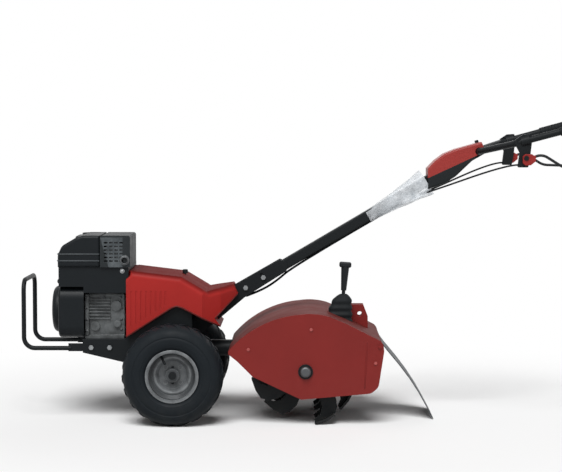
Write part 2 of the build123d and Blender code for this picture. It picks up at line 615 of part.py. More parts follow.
# Outline of the handle bracket's plates, from the wheel gear case up to the column
low_corner = on_column(-20, -26)
bracket_corners = [
    (PAD_X[0], PAD_TOP_Z - 4),
    (PAD_X[0], PAD_TOP_Z - 36),
    (PAD_X[1] + 4, PAD_TOP_Z - 36),
    (low_corner[0], low_corner[2]),
]
for along, square in ((146, -21), (158, -10), (158, 10), (146, 24), (-28, 26)):
    corner = on_column(along, square)
    bracket_corners.append((corner[0], corner[2]))

# Red cover: hollow, open in front and below, arched over each wheel, drawn in to a horn at the rear
cover_corners = [
    (-159.0, 278.0), (-159.0, 480.0), (-142.0, 495.0), (22.0, 475.0), (104.0, 426.0), (189.0, 445.0),
    (205.0, 413.0), (131.0, 336.0), (150.0, 308.2), (26.0, 373.0), (7.0, 379.0), (-12.0, 372.0),
]
cover_face = outline(cover_corners)
plan = [(-170.0, COVER_Y), (90.0, COVER_Y), (150.0, 112.0), (215.0, COVER_TIP_Y)]


def cover_body(inset):
    """The cover's full body, drawn in by inset on all sides, with rounded top edges."""
    right = [(x, y - inset) for x, y in plan]
    left = [(x, -y) for x, y in reversed(right)]
    upright = Pos(0, 0, 200) * extrude(make_face(Polyline(*right, *left, close=True)), amount=400)
    face = offset(cover_face, amount=-inset, kind=Kind.INTERSECTION) if inset else cover_face
    body = slab(face, -COVER_Y, COVER_Y) & upright
    top_edges = []
    for edge in body.edges():
        middle = edge.center()
        if middle.Z > 418 and abs(middle.Y) > 30 and abs(edge.tangent_at(0.5).X) > 0.5:
            top_edges.append(edge)
    return fillet(top_edges, COVER_ROUND - inset)


cover_solid = cover_body(0)
hollow = cover_body(COVER_WALL)
cover_solid -= hollow
open_side = block(-300, COVER_TAIL_X, -2 * COVER_Y, 2 * COVER_Y, 0, 700)
for step_x, step_z in ((0, -9), (-9, 0), (-9, -9)):
    cover_solid -= (Pos(step_x, 0, step_z) * hollow) & open_side
roof_x, roof_z = cover_corners[2]
lip_x = cowl_rear + SEAT_GAP
lip_corners = [
    (lip_x, roof_z - COVER_LIP_H), (lip_x + COVER_WALL, roof_z - COVER_LIP_H), (lip_x + COVER_WALL, roof_z - 4),
    (roof_x + 12, roof_z - 5), (roof_x + 12, roof_z - 2), (roof_x, roof_z - 0.5), (lip_x, roof_z - 0.5),
]
cover_solid += slab(outline(lip_corners), -COVER_LIP_Y, COVER_LIP_Y)
for louvre in range(LOUVRE_COUNT):
    louvre_x = -144 + louvre * LOUVRE_STEP
    arch_z = 278 + (louvre_x + 159) * (379 - 278) / 166
    groove = block(louvre_x, louvre_x + LOUVRE_W, COVER_Y - LOUVRE_DEEP, COVER_Y + 1, arch_z + 26, 428)
    cover_solid -= groove
    cover_solid -= flip(groove)
horn_cut = BRACKET_OUT + SLOT_PLAY
bracket_room = offset(outline(bracket_corners), amount=SLOT_PLAY)
cover_solid -= slab(bracket_room, -horn_cut, horn_cut)
cover_solid -= rod_z(KNOB_X, 0, 440, 520, KNOB_SCREW_R + HOLE_GAP)
cover_solid -= column_plate([(-90, -34), (40, -34), (40, 32), (-90, 32)], -horn_cut, horn_cut)
keep("belt_cover", cover_solid)

knob_z = 475.0 - (KNOB_X - 22) * 0.6
knob = rod_z(KNOB_X, 0, knob_z + 3.6, knob_z + 3.6 + KNOB_H, KNOB_R)
knob = fillet(knob.faces().sort_by(Axis.Z)[-1].edges(), 3)
keep("cover_knob", knob + rod_z(KNOB_X, 0, knob_z - 12, knob_z + 4, KNOB_SCREW_R))


# Worm drives: one worm on the drive shaft over each cross shaft
def worm(x):
    """Single-start worm on the drive shaft, with a thread passing straight below its middle."""
    low_r = WORM_R - THREAD_H - 0.3
    top_r = WORM_R + THREAD_H
    start = -PITCH * (math.ceil(WORM_L / 2 / PITCH) + 1)
    foot = PITCH / 4 + FLANK / 2 - GEAR_PLAY / 2
    crest = PITCH / 4 - FLANK / 2 - GEAR_PLAY / 2
    corners = [(low_r, start - foot), (top_r, start - crest), (top_r, start + crest), (low_r, start + foot)]
    section = make_face(Polyline(*[(r, 0, z) for r, z in corners], close=True))
    path = Pos(0, 0, start) * Helix(PITCH, -2 * start, low_r)
    thread = sweep(section, path=path, is_frenet=True) & Cylinder(top_r + 1, WORM_L)
    body = Cylinder(WORM_R - THREAD_H, WORM_L) + thread
    return Pos(x, 0, SHAFT_Z) * Rot(0, 90, 0) * body


def worm_wheel(teeth, x, z, bore_r):
    """Wheel on a cross shaft with slanted tooth gaps, one of them at the top."""
    pitch_r = GEAR_MODULE * teeth / 2
    lead = -math.degrees(math.atan(PITCH / (2 * math.pi * WORM_R)))
    low_r = pitch_r - THREAD_H - 0.6
    top_r = pitch_r + THREAD_H + 1
    foot = PITCH / 4 - FLANK / 2 + GEAR_PLAY / 2
    mouth = PITCH / 4 + FLANK / 2 + GEAR_PLAY / 2
    gap = make_face(Polyline((low_r, -foot), (top_r, -mouth), (top_r, mouth), (low_r, foot), close=True))
    gap = Rot(lead, 0, 0) * extrude(gap, amount=GEAR_W, both=True)
    wheel = Cylinder(pitch_r + THREAD_H - 0.6, GEAR_W)
    for tooth in range(teeth):
        wheel -= Rot(0, 0, 360 / teeth * tooth) * gap
    wheel -= Cylinder(bore_r + SEAT_GAP, GEAR_W + 1)
    return Pos(x, 0, z) * Rot(90, 0, 0) * Rot(0, 0, 90) * wheel


keep("wheel_worm_gear", worm_wheel(AXLE_TEETH, 0, AXLE_Z, AXLE_R))
keep("tine_worm_gear", worm_wheel(TINE_TEETH, TINE_X, TINE_Z, TINE_SHAFT_R))
shaft_end_x = TINE_X + TUNNEL_L - 1
shaft = rod_x(BELT_X - BELT_W / 2 - PULLEY_WALL - 6, shaft_end_x, 0, SHAFT_Z, SHAFT_R)
keep("drive_shaft", shaft + worm(0) + worm(TINE_X))


def gear_case(x, z, gear_r, cross_r):
    """Hollow case round a worm and its wheel, with bush bores for both shafts."""
    room_r = gear_r + THREAD_H + CASE_PLAY
    shell = rod_y(x, -CASE_HALF_W, CASE_HALF_W, z, room_r + CASE_SHELL)
    shell += rod_x(x - TUNNEL_L, x + TUNNEL_L, 0, SHAFT_Z, TUNNEL_R)
    return shell, [
        rod_y(x, CASE_SHELL - CASE_HALF_W, CASE_HALF_W - CASE_SHELL, z, room_r),
        rod_x(x - TUNNEL_L + CASE_SHELL, x + TUNNEL_L - CASE_SHELL, 0, SHAFT_Z, TUNNEL_R - CASE_SHELL),
        rod_x(x - TUNNEL_L - 1, x + TUNNEL_L + 1, 0, SHAFT_Z, SHAFT_R + BUSH_WALL),
        rod_y(x, -CASE_HALF_W - 1, CASE_HALF_W + 1, z, cross_r + BUSH_WALL),
    ]


def halves(name, shell, rooms):
    """Split a case along the middle plane into its left and right castings."""
    for room in rooms:
        shell -= room
    far = 2 * PLATE_Y
    left = shell & block(-far, TINE_X + far, -far, 0, 0, 2 * far)
    right = shell & block(-far, TINE_X + far, 0, far, 0, 2 * far)
    keep(name, left, right)


# Wheel gear case: wings reach out to the side plates, a pad on top carries the handle bracket
wheel_case, wheel_rooms = gear_case(0, AXLE_Z, AXLE_GEAR_R, AXLE_R)
for wing_x, wing_z in CASE_BOLTS:
    wheel_case += block(wing_x - 13, wing_x + 13, -PLATE_IN, PLATE_IN, wing_z - 12, wing_z + 12)
wheel_case += block(*PAD_X, -BRACKET_IN, BRACKET_IN, SHAFT_Z, PAD_TOP_Z)
for wing_x, wing_z in CASE_BOLTS:
    for side in (-1, 1):
        tapped = rod_y(wing_x, side * (PLATE_IN - 26), side * (PLATE_IN + 1), wing_z, BOLT_R + HOLE_GAP)
        wheel_rooms.append(tapped)
for bolt_x, bolt_z in PAD_BOLTS:
    wheel_rooms.append(rod_y(bolt_x, -BRACKET_IN - 1, BRACKET_IN + 1, bolt_z, BOLT_R + HOLE_GAP))
halves("wheel_gear_case_halves", wheel_case, wheel_rooms)
case_bolts = []
for wing_x, wing_z in CASE_BOLTS:
    bolt = rod_y(wing_x, PLATE_IN - 25, PLATE_Y, wing_z, BOLT_R)
    bolt += Pos(wing_x, PLATE_Y, wing_z) * Rot(-90, 0, 0) * hex_head(BOLT_HEAD_R, BOLT_HEAD_T)
    case_bolts += [bolt, flip(bolt)]

# Tine gear case, with a post on top that carries the hood
tine_case, tine_rooms = gear_case(TINE_X, TINE_Z, TINE_GEAR_R, TINE_SHAFT_R)
halves("tine_gear_case_halves", tine_case, tine_rooms)
tube = rod_x(TUNNEL_L, TINE_X - TUNNEL_L, 0, SHAFT_Z, TUNNEL_R - 3)
keep("drive_tube", tube - rod_x(0, TINE_X, 0, SHAFT_Z, TUNNEL_R - 3 - TUBE_WALL))

shaft_bushes = []
for case_x in (0, TINE_X):
    for side in (-1, 1):
        near = case_x + side * (TUNNEL_L - CASE_SHELL)
        ends = sorted((near, near + side * CASE_SHELL))
        ring = rod_x(*ends, 0, SHAFT_Z, SHAFT_R + BUSH_WALL - SEAT_GAP)
        shaft_bushes.append(ring - rod_x(ends[0] - 1, ends[1] + 1, 0, SHAFT_Z, SHAFT_R + RUN_GAP))


def cross_bushes(x, z, r):
    """Pair of bushes in the side walls of a gear case."""
    ring = rod_y(x, CASE_HALF_W - CASE_SHELL, CASE_HALF_W, z, r + BUSH_WALL - SEAT_GAP)
    ring -= rod_y(x, 0, 2 * CASE_HALF_W, z, r + RUN_GAP)
    return ring, flip(ring)


shaft_bushes += cross_bushes(0, AXLE_Z, AXLE_R)
shaft_bushes += cross_bushes(TINE_X, TINE_Z, TINE_SHAFT_R)
keep("shaft_bushes", *shaft_bushes)

# Wheels: tyre on a stepped disc rim, pinned to the axle through the hub
axle_end = WHEEL_Y + AXLE_OVERHANG
axle = rod_y(0, -axle_end, axle_end, AXLE_Z, AXLE_R)
pin_y = WHEEL_Y + HUB_PIN_W
for side in (-1, 1):
    axle -= Pos(0, side * pin_y, AXLE_Z) * Cylinder(HUB_PIN_R + SEAT_GAP, 4 * AXLE_R)
keep("wheel_axle", axle)
half_rim = RIM_W / 2
rim_profile = [
    (AXLE_R + SEAT_GAP, -HUB_IN), (HUB_R, -HUB_IN), (HUB_R, 2), (DISH_R, 2), (DISH_R + 11, 14),
    (RIM_WELL_R, 14), (RIM_WELL_R, -18), (RIM_SEAT_R, -26), (RIM_SEAT_R, -half_rim),
    (RIM_FLANGE_R, -half_rim), (RIM_FLANGE_R, -half_rim + RIM_WALL),
    (RIM_SEAT_R + RIM_WALL, -half_rim + RIM_WALL),
    (RIM_SEAT_R + RIM_WALL, -25), (RIM_WELL_R + RIM_WALL, -17), (RIM_WELL_R + RIM_WALL, 17),
    (RIM_SEAT_R + RIM_WALL, 25), (RIM_SEAT_R + RIM_WALL, half_rim - RIM_WALL),
    (RIM_FLANGE_R, half_rim - RIM_WALL), (RIM_FLANGE_R, half_rim), (RIM_SEAT_R, half_rim),
    (RIM_SEAT_R, 26), (RIM_WELL_R, 18), (DISH_R + 10, 18), (DISH_R - 1, 6), (HUB_R, 6), (HUB_R, HUB_OUT),
    (AXLE_R + SEAT_GAP, HUB_OUT),
]
rim = turned(rim_profile, 0, WHEEL_Y, AXLE_Z)
rim -= Pos(0, pin_y, AXLE_Z) * Cylinder(HUB_PIN_R + SEAT_GAP, 4 * HUB_R)
dimple_r = (HUB_R + DISH_R) / 2
for step in range(DIMPLES):
    angle = 2 * math.pi * (step + 0.5) / DIMPLES
    spot = (dimple_r * math.cos(angle), AXLE_Z + dimple_r * math.sin(angle))
    rim -= rod_y(spot[0], WHEEL_Y + 6 - DIMPLE_DEEP, WHEEL_Y + 8, spot[1], DIMPLE_R)
keep("wheel_rims", rim, flip(rim))
pin = Pos(0, pin_y, AXLE_Z) * Cylinder(HUB_PIN_R, 2 * HUB_R + 14)
keep("hub_pins", pin, flip(pin))
bead_r = RIM_SEAT_R + RIM_WALL + SEAT_GAP
bead_w = half_rim - RIM_WALL - SEAT_GAP
half_w = TYRE_W / 2
wall_r = TYRE_R - 34
tyre_profile = [
    (bead_r, 30), (bead_r, bead_w), (RIM_FLANGE_R + 2, bead_w), (RIM_FLANGE_R + 8, half_w - 4),
    (112, half_w), (wall_r, half_w - 1), (TYRE_R - 12, half_w - 10), (TYRE_R, 30),
]
tyre_room = [
    (bead_r, 20), (RIM_FLANGE_R + 10, bead_w - TYRE_WALL), (112, half_w - TYRE_WALL),
    (wall_r, half_w - TYRE_WALL), (TYRE_R - 18, half_w - 18), (TYRE_R - TYRE_WALL - 5, 24),
]
profile = tyre_profile + [(r, -w) for r, w in reversed(tyre_profile)]
room = [(bead_r - 5, 20)] + tyre_room + [(r, -w) for r, w in reversed(tyre_room)] + [(bead_r - 5, -20)]
tyre = turned(profile, 0, WHEEL_Y, AXLE_Z) - turned(room, 0, WHEEL_Y, AXLE_Z)
keep("tyres", tyre, flip(tyre))


# Tine rotor: hub plates welded to the cross shaft, four hooked tines bolted to each
rest_turn = math.degrees(math.acos(min(1, TINE_Z / TINE_R))) + TINE_TURN


def reach(share, turn):
    """Point of a tine at a share of its swept radius, turned by degrees towards the hooked tip."""
    angle = math.radians(turn)
    return (-share * TINE_R * math.sin(angle), -share * TINE_R * math.cos(angle))


tine_outer = [reach(0.73, -9), reach(0.89, -2), reach(0.975, 5), reach(0.99, 15), reach(1, TINE_TURN)]
tine_inner = [reach(0.925, TINE_TURN + 1), reach(0.87, 21), reach(0.757, 14.5), reach(0.593, 13)]
tine_outline = [(TINE_HALF_W - 2, -24), (TINE_HALF_W + 2, -0.46 * TINE_R), *tine_outer, *tine_inner]
tine_outline += [(-TINE_HALF_W, -0.4 * TINE_R), (2 - TINE_HALF_W, -24)]
foot_rim = [reach(0.975, 5), reach(0.99, 15), reach(1, TINE_TURN)]
foot_outline = foot_rim + [reach(0.96, TINE_TURN + 0.5), reach(0.95, 15), reach(0.935, 5)]
blade = plate(tine_outline, 0, TINE_T) + plate(foot_outline, 0, TINE_FOOT)
blade -= rod_y(0, -1, TINE_T + 1, -TINE_BOLT_R, BOLT_R + HOLE_GAP)
tine_bolt = bolt_y(0, -TINE_BOLT_R, TINE_T, -HUB_PLATE_T, BOLT_R, BOLT_HEAD_R, BOLT_HEAD_T)
half_plate = HUB_PLATE_T / 2
tine_end = HOOD_Y + 12
rotor = rod_y(TINE_X, -tine_end, tine_end, TINE_Z, TINE_SHAFT_R)
tines = []
tine_bolts = []
for side in (1, -1):
    for hub_y, stagger in zip(HUB_PLATE_Y, HUB_STAGGER):
        disc = rod_y(0, -half_plate, half_plate, 0, HUB_PLATE_R) + rod_y(0, -12, 12, 0, HUB_R)
        for number in range(TINES_PER_HUB):
            turn = Rot(0, 360 / TINES_PER_HUB * number, 0)
            disc -= turn * rod_y(0, -half_plate - 1, half_plate + 1, -TINE_BOLT_R, BOLT_R + HOLE_GAP)
        spot = Pos(TINE_X, side * hub_y, TINE_Z) * Rot(0, -rest_turn - stagger, 0)
        rotor += spot * disc
        for number in range(TINES_PER_HUB):
            outward = side if number % 2 == 0 else -side
            seat = spot * Rot(0, 360 / TINES_PER_HUB * number, 0) * Pos(0, outward * half_plate, 0)
            tines.append(seat * (blade if outward > 0 else flip(blade)))
            tine_bolts.append(seat * (tine_bolt if outward > 0 else flip(tine_bolt)))
keep("tine_shaft", rotor)
keep("tines", *tines)
keep("tine_bolts", *tine_bolts)

# Hood: bent top sheet between two flat side panels that carry the shaft ends
hood_line = (ThreePointArc((180, 0, 243), (285, 0, 326), (411, 0, 362))
             + ThreePointArc((411, 0, 362), (458, 0, 364), (504, 0, 356))
             + Polyline((504, 0, 356), (563, 0, 332), (642, 0, 292), (681, 0, 273), (684, 0, 243),
                        (666, 0, 126), (642, 0, 106), (416, 0, 86), (259, 0, 160), (210, 0, 209),
                        (180, 0, 233), (180, 0, 243)))
panel_face = make_face(hood_line)
rear_corners = [v for v in panel_face.vertices() if v.X > 640 and v.Z < 280]
panel_face = fillet([v for v in rear_corners if abs(v.Z - 292) > 1], HOOD_CORNER)
hood_room = offset(panel_face, amount=-HOOD_T)
panel_in = HOOD_Y - PANEL_T
panel = slab(panel_face, panel_in, HOOD_Y)
collar_r = BEARING_R - 5
panel -= rod_y(TINE_X, panel_in - 1, HOOD_Y + 1, TINE_Z, collar_r + SEAT_GAP)
panel -= rod_y(FLAP_HINGE[0], panel_in - 1, HOOD_Y + 1, FLAP_HINGE[1], FLAP_ROD_R + HOLE_GAP)
for bolt_x, bolt_z in HOOD_BOLTS:
    panel -= rod_y(bolt_x, panel_in - 1, HOOD_Y + 1, bolt_z, SMALL_BOLT_R + HOLE_GAP)
keep("hood_panels", panel, flip(panel))
sheet_face = panel_face - hood_room - outline([(150, 234), (676, 270.5), (720, 270.5), (720, 0), (150, 0)])
hood_top = slab(sheet_face, -panel_in, panel_in)
hood_top -= rod_x(0, TINE_X, 0, SHAFT_Z, TUNNEL_R)
hood_bolts = []
for bolt_x, bolt_z in HOOD_BOLTS:
    bolt = bolt_y(bolt_x, bolt_z, HOOD_Y, panel_in, SMALL_BOLT_R, SMALL_HEAD_R, SMALL_HEAD_T)
    hood_bolts += [bolt, flip(bolt)]
post = block(*POST_X, -POST_Y, POST_Y, SHAFT_Z, 400) & slab(panel_face, -POST_Y, POST_Y)
post -= block(POST_X[0] + POST_WALL, POST_X[1] - POST_WALL, -POST_Y + POST_WALL, POST_Y - POST_WALL, 0, 400)
drum_r = TINE_GEAR_R + THREAD_H + CASE_PLAY + CASE_SHELL
post -= rod_x(POST_X[0] - 1, POST_X[1] + 1, 0, SHAFT_Z, TUNNEL_R)
hood_top += post - rod_y(TINE_X, -CASE_HALF_W, CASE_HALF_W, TINE_Z, drum_r)
bearing = rod_y(TINE_X, panel_in, HOOD_Y, TINE_Z, collar_r)
bearing += rod_y(TINE_X, HOOD_Y, HOOD_Y + 5, TINE_Z, BEARING_R)
bearing -= rod_y(TINE_X, panel_in - 1, HOOD_Y + 6, TINE_Z, TINE_SHAFT_R + RUN_GAP)
keep("tine_side_bearings", bearing, flip(bearing))
nut = rod_y(TINE_X, HOOD_Y + 5 + SIDE_GAP, tine_end + 6, TINE_Z, END_NUT_R + 3)
nut = fillet(nut.faces().sort_by(Axis.Y)[-1].edges(), 8)
nut -= rod_y(TINE_X, HOOD_Y, tine_end, TINE_Z, TINE_SHAFT_R + SEAT_GAP)
keep("tine_end_nuts", nut, flip(nut))

# Rear hitch: two ears and a web standing on the sloping rear of the hood
ear_in = HITCH_GAP / 2
ear_out = ear_in + HITCH_EAR_T
ear_corners = [(578, 300), (639, 280), (639, 334), (624, 373), (586, 373), (578, 362)]
hitch = plate(ear_corners, ear_in, ear_out) + plate(ear_corners, -ear_out, -ear_in)
hitch += block(578, 578 + HITCH_EAR_T, -ear_in, ear_in, 300, 362)
hitch -= slab(panel_face, -ear_out - 1, ear_out + 1)
hitch -= rod_y(HITCH_PIN[0], -ear_out - 1, ear_out + 1, HITCH_PIN[1], HITCH_PIN_R)
keep("rear_hitch_bracket", hitch)


def ribbon(points, thick):
    """Outline of a bent sheet of even thickness along a line of XZ points."""
    upper = []
    lower = []
    for at, (x, z) in enumerate(points):
        before = points[max(at - 1, 0)]
        after = points[min(at + 1, len(points) - 1)]
        dx, dz = after[0] - before[0], after[1] - before[1]
        size = math.hypot(dx, dz)
        upper.append((x - dz / size * thick / 2, z + dx / size * thick / 2))
        lower.append((x + dz / size * thick / 2, z - dx / size * thick / 2))
    return upper + lower[::-1]


# Rear flap on its hinge rod
flap_x, flap_z = FLAP_HINGE
flap_half = FLAP_W / 2
flap_line = [(flap_x + 4, flap_z + 5), (700, 231), (740, 183), (774, 138), (804, 92), (830, 46), (852, 4)]
flap = plate(ribbon(flap_line, FLAP_T), -flap_half, flap_half)
flap += rod_y(flap_x, -flap_half, flap_half, flap_z, FLAP_KNUCKLE_R)
keep("rear_flap", flap - rod_y(flap_x, -flap_half - 1, flap_half + 1, flap_z, FLAP_ROD_R + RUN_GAP))
hinge_rod = rod_y(flap_x, -HOOD_Y - 1, HOOD_Y + 1, flap_z, FLAP_ROD_R)
for side in (-1, 1):
    cap_y0 = side * (HOOD_Y + SIDE_GAP)
    hinge_rod += rod_y(flap_x, cap_y0, cap_y0 + side * 4, flap_z, FLAP_ROD_R + 3)
keep("flap_hinge_rod", hinge_rod)

# Selector lever: base ears on the hood, stem with a flared grip, rubber boot over the pivot
lever_x, lever_z = LEVER_PIVOT
ear = plate([(530, 300), (574, 300), (566, lever_z + 9), (540, lever_z + 9)], 8, 12)
base = Pos(0, LEVER_Y, 0) * (ear + flip(ear)) - slab(hood_room, LEVER_Y - 20, LEVER_Y + 20)
pivot_pin = rod_y(lever_x, LEVER_Y - 12, LEVER_Y + 12, lever_z, LEVER_PIN_R)
keep("hood_top", hood_top + base + pivot_pin)
lean_x = LEVER_TOP[0] - lever_x
lean_z = LEVER_TOP[1] - lever_z
stem_l = math.hypot(lean_x, lean_z)
lever_frame = Pos(lever_x, LEVER_Y, lever_z) * Rot(0, math.degrees(math.atan2(lean_x, lean_z)), 0)
stem = lever_frame * rod_z(0, 0, 0, stem_l, LEVER_R)
stem += rod_y(lever_x, LEVER_Y - 8 + SIDE_GAP, LEVER_Y + 8 - SIDE_GAP, lever_z, 10)
keep("selector_lever", stem - rod_y(lever_x, LEVER_Y - 20, LEVER_Y + 20, lever_z, LEVER_PIN_R + RUN_GAP))
knob_l = KNOB_TOP_Z - lever_z
flare = Pos(0, 0, stem_l - 32) * Cone(LEVER_R + 3, LEVER_R + 8, 88)
crown = fillet((Pos(0, 0, knob_l - 9) * Box(40, 28, 18)).edges(), 6)
flare = flare + crown - rod_z(0, 0, 0, stem_l, LEVER_R + SEAT_GAP)
keep("selector_knob", lever_frame * flare)


def boot_body(inset):
    """Tapered boot with four bellows folds, from the hood up to its neck."""
    rings = 4
    body = None
    low_z = 322.0
    step = (BOOT_TOP_Z - low_z) / rings
    for ring in range(rings):
        wide = BOOT_HALF - ring * 8 - inset
        narrow = wide - 9.0
        ends = []
        for high, size in ((ring, wide), (ring + 1, narrow)):
            spot = Pos(lever_x - 3, LEVER_Y, low_z + high * step)
            ends.append(spot * RectangleRounded(2 * size, 1.5 * size, 0.45 * size))
        fold = loft(ends)
        body = fold if body is None else body + fold
    return body


boot = boot_body(0) - boot_body(BOOT_WALL + 1) - slab(panel_face, LEVER_Y - 60, LEVER_Y + 60)
boot -= lever_frame * rod_z(0, 0, 0, stem_l, LEVER_R + SIDE_GAP)
keep("selector_boot", boot)


# Handle bracket: two plates from the wheel gear case up through the cover's horn to the column
pivot_x, pivot_z = HANDLE_PIVOT
bracket = plate(bracket_corners, BRACKET_IN, BRACKET_OUT)
for bolt_x, bolt_z in PAD_BOLTS:
    bracket -= rod_y(bolt_x, BRACKET_IN - 1, BRACKET_OUT + 1, bolt_z, BOLT_R + HOLE_GAP)
bracket -= rod_y(pivot_x, BRACKET_IN - 1, BRACKET_OUT + 1, pivot_z, BOLT_R + SEAT_GAP)
slot_half = BOLT_R + 0.5
slot = (rod_y(pivot_x, BRACKET_IN - 1, BRACKET_OUT + 1, pivot_z, LOCK_DIST + slot_half)
        - rod_y(pivot_x, BRACKET_IN - 1, BRACKET_OUT + 1, pivot_z, LOCK_DIST - slot_half))
slot_ends = [SLOPE - math.radians(LOCK_DOWN), SLOPE + math.radians(LOCK_UP)]
wedge = [(pivot_x, pivot_z)]
wedge += [(pivot_x + 2 * LOCK_DIST * math.cos(a), pivot_z + 2 * LOCK_DIST * math.sin(a)) for a in slot_ends]
slot &= plate(wedge, BRACKET_IN - 1, BRACKET_OUT + 1)
for angle in slot_ends:
    end_x = pivot_x + LOCK_DIST * math.cos(angle)
    end_z = pivot_z + LOCK_DIST * math.sin(angle)
    slot += rod_y(end_x, BRACKET_IN - 1, BRACKET_OUT + 1, end_z, slot_half)
bracket -= slot
keep("handle_brackets", bracket, flip(bracket))
bracket_bolts = []
for bolt_x, bolt_z in PAD_BOLTS + [HANDLE_PIVOT]:
    bracket_bolts.append(bolt_y(bolt_x, bolt_z, BRACKET_OUT, -BRACKET_OUT, BOLT_R, BOLT_HEAD_R, BOLT_HEAD_T))
keep("hex_bolts", *frame_bolts, *case_bolts, *bracket_bolts, *engine_bolts, *hood_bolts)
lock_x, _, lock_z = on_column(LOCK_DIST, 0)
lock_head = BRACKET_OUT + SIDE_GAP
keep("handle_lock_bolt", bolt_y(lock_x, lock_z, lock_head, -lock_head, BOLT_R, BOLT_HEAD_R, BOLT_HEAD_T))

# Column: rectangular tube from the pivot up to the yoke
half_h = COLUMN_H / 2
column = column_bar(-COLUMN_FOOT, COLUMN_END, half_h, COLUMN_Y)
along_column = Vector(math.cos(SLOPE), 0, math.sin(SLOPE))
column = fillet(column.edges().filter_by(lambda e: abs(e.tangent_at(0.5).dot(along_column)) > 0.99), 5)
bore_h = half_h - COLUMN_WALL
bore_y = COLUMN_Y - COLUMN_WALL
column -= column_bar(-COLUMN_FOOT - 1, COLUMN_END + 1, bore_h, bore_y)
column -= rod_y(pivot_x, -COLUMN_Y - 1, COLUMN_Y + 1, pivot_z, BOLT_R + RUN_GAP)
column -= rod_y(lock_x, -COLUMN_Y - 1, COLUMN_Y + 1, lock_z, BOLT_R + SEAT_GAP)
keep("handle_column", column)

# Yoke in the column's end, arms and rubber grips
plug_h = bore_h - SEAT_GAP
plug_y = bore_y - SEAT_GAP
yoke = column_bar(COLUMN_END, COLUMN_END + YOKE_L, half_h, COLUMN_Y)
yoke += column_bar(COLUMN_END - YOKE_PLUG, COLUMN_END + 1, plug_h, plug_y)
root_x, _, root_z = on_column(COLUMN_END + YOKE_L / 2, 0)
bend_x, bend_y, bend_z = ARM_BEND
end_x, end_y, end_z = GRIP_END
grip_way = Vector(end_x - bend_x, end_y - bend_y, end_z - bend_z).normalized()
tube_end = Vector(*GRIP_END) - grip_way * GRIP_CAP
arm_points = [(root_x, COLUMN_Y, root_z), (root_x, ARM_ROOT_Y, root_z), ARM_BEND, tube_end]
arm = bent_rod(arm_points, ARM_BENDS, ARM_R, ARM_R - ARM_WALL)
keep("handlebar", yoke + arm + flip(arm))


def along_grip(distance, length, radius):
    """Round bar on the line of the grip, starting at a distance before its end."""
    start = Vector(*GRIP_END) - grip_way * distance
    return extrude(Plane(origin=start, z_dir=grip_way) * Circle(radius), amount=length)


sleeve = along_grip(GRIP_L, GRIP_L, GRIP_R)
for ring in range(10):
    ring_at = GRIP_L - 14 - ring * 12
    sleeve -= along_grip(ring_at, 2.5, GRIP_R + 1) - along_grip(ring_at, 2.5, GRIP_R - 0.8)
sleeve -= along_grip(GRIP_L + 1, GRIP_L + 1 - GRIP_CAP, ARM_R + SEAT_GAP)
keep("grips", sleeve, flip(sleeve))

# Clutch levers: clamp plate under each arm, red boss on a pin, steel lever under the grip
pin_x, pin_z = CLUTCH_PIN
clamp_at = (end_x - pin_x) / grip_way.X
clamp_mid = Vector(*GRIP_END) - grip_way * clamp_at
plate_y0 = clamp_mid.Y - LEVER_PLATE_T / 2
plate_y1 = clamp_mid.Y + LEVER_PLATE_T / 2
clamp = along_grip(clamp_at + 14, 28, ARM_R + 5)
clamp_front = pin_x - 26
clamp_low = pin_z - 30
clamp_corners = [
    (clamp_front, clamp_low),
    (pin_x + 8, clamp_low),
    (pin_x + 14, pin_z + 4),
    (pin_x + 20, clamp_mid.Z),
    (pin_x + 16, clamp_mid.Z + ARM_R + 11),
    (pin_x - 10, clamp_mid.Z + ARM_R + 9),
    (pin_x - 34, clamp_mid.Z + 4),
    (pin_x - 34, clamp_mid.Z - 12),
    (pin_x - 20, pin_z + 18),
]
clamp_face = outline(clamp_corners)
clamp += slab(fillet(clamp_face.vertices(), 4), plate_y0, plate_y1)
clamp -= bent_rod(arm_points, ARM_BENDS, ARM_R + SEAT_GAP)
boss_y0 = plate_y1 + SIDE_GAP
boss_y1 = boss_y0 + BOSS_T
clamp += rod_y(pin_x, plate_y1 - 1, boss_y1 + SIDE_GAP, pin_z, CLUTCH_PIN_R)
clamp += rod_y(pin_x, boss_y1 + SIDE_GAP, boss_y1 + SIDE_GAP + 3, pin_z, CLUTCH_PIN_R + 4)
keep("lever_clamps", clamp, flip(clamp))
boss_corners = [
    (pin_x - 11, pin_z + 6),
    (pin_x - 11, pin_z - 14),
    (pin_x - 4, pin_z - 23),
    (pin_x + 14, pin_z - 23),
    (pin_x + 30, pin_z - 10),
    (pin_x + 30, pin_z + 4),
    (pin_x + 18, pin_z + 13),
    (pin_x - 3, pin_z + 13),
]
boss = plate(boss_corners, boss_y0, boss_y1)
boss = fillet(boss.edges().filter_by(Axis.Y), 4)
lever_mid_y = (boss_y0 + boss_y1) / 2
lever_points = [
    (pin_x + 16, lever_mid_y, pin_z),
    (pin_x + LEVER_L * 0.25, lever_mid_y, pin_z + 13),
    (pin_x + LEVER_L * 0.58, lever_mid_y + 8, pin_z - LEVER_DROP),
    (pin_x + LEVER_L, lever_mid_y + 8, pin_z - LEVER_DROP - 3),
]
steel = bent_rod(lever_points, [40, 60], CLUTCH_ROD_R)
boss -= rod_y(pin_x, boss_y0 - 1, boss_y1 + 1, pin_z, CLUTCH_PIN_R + RUN_GAP)
keep("clutch_lever_right", boss + steel)
keep("clutch_lever_left", flip(boss + steel))

# Console: red upper shell and black lower shell round the column's end, with a throttle slide
seam = [(1027.0, 885.0), (837.0, 797.0)]
upper_corners = [(836.0, 829.0), (862.0, 856.0), (892.0, 878.0), (930.0, 893.375), (1014.0, 917.0)]
lower_corners = [(838.0, 760.0), (894.0, 780.0), (929.0, 803.0), (991.0, 862.0)]


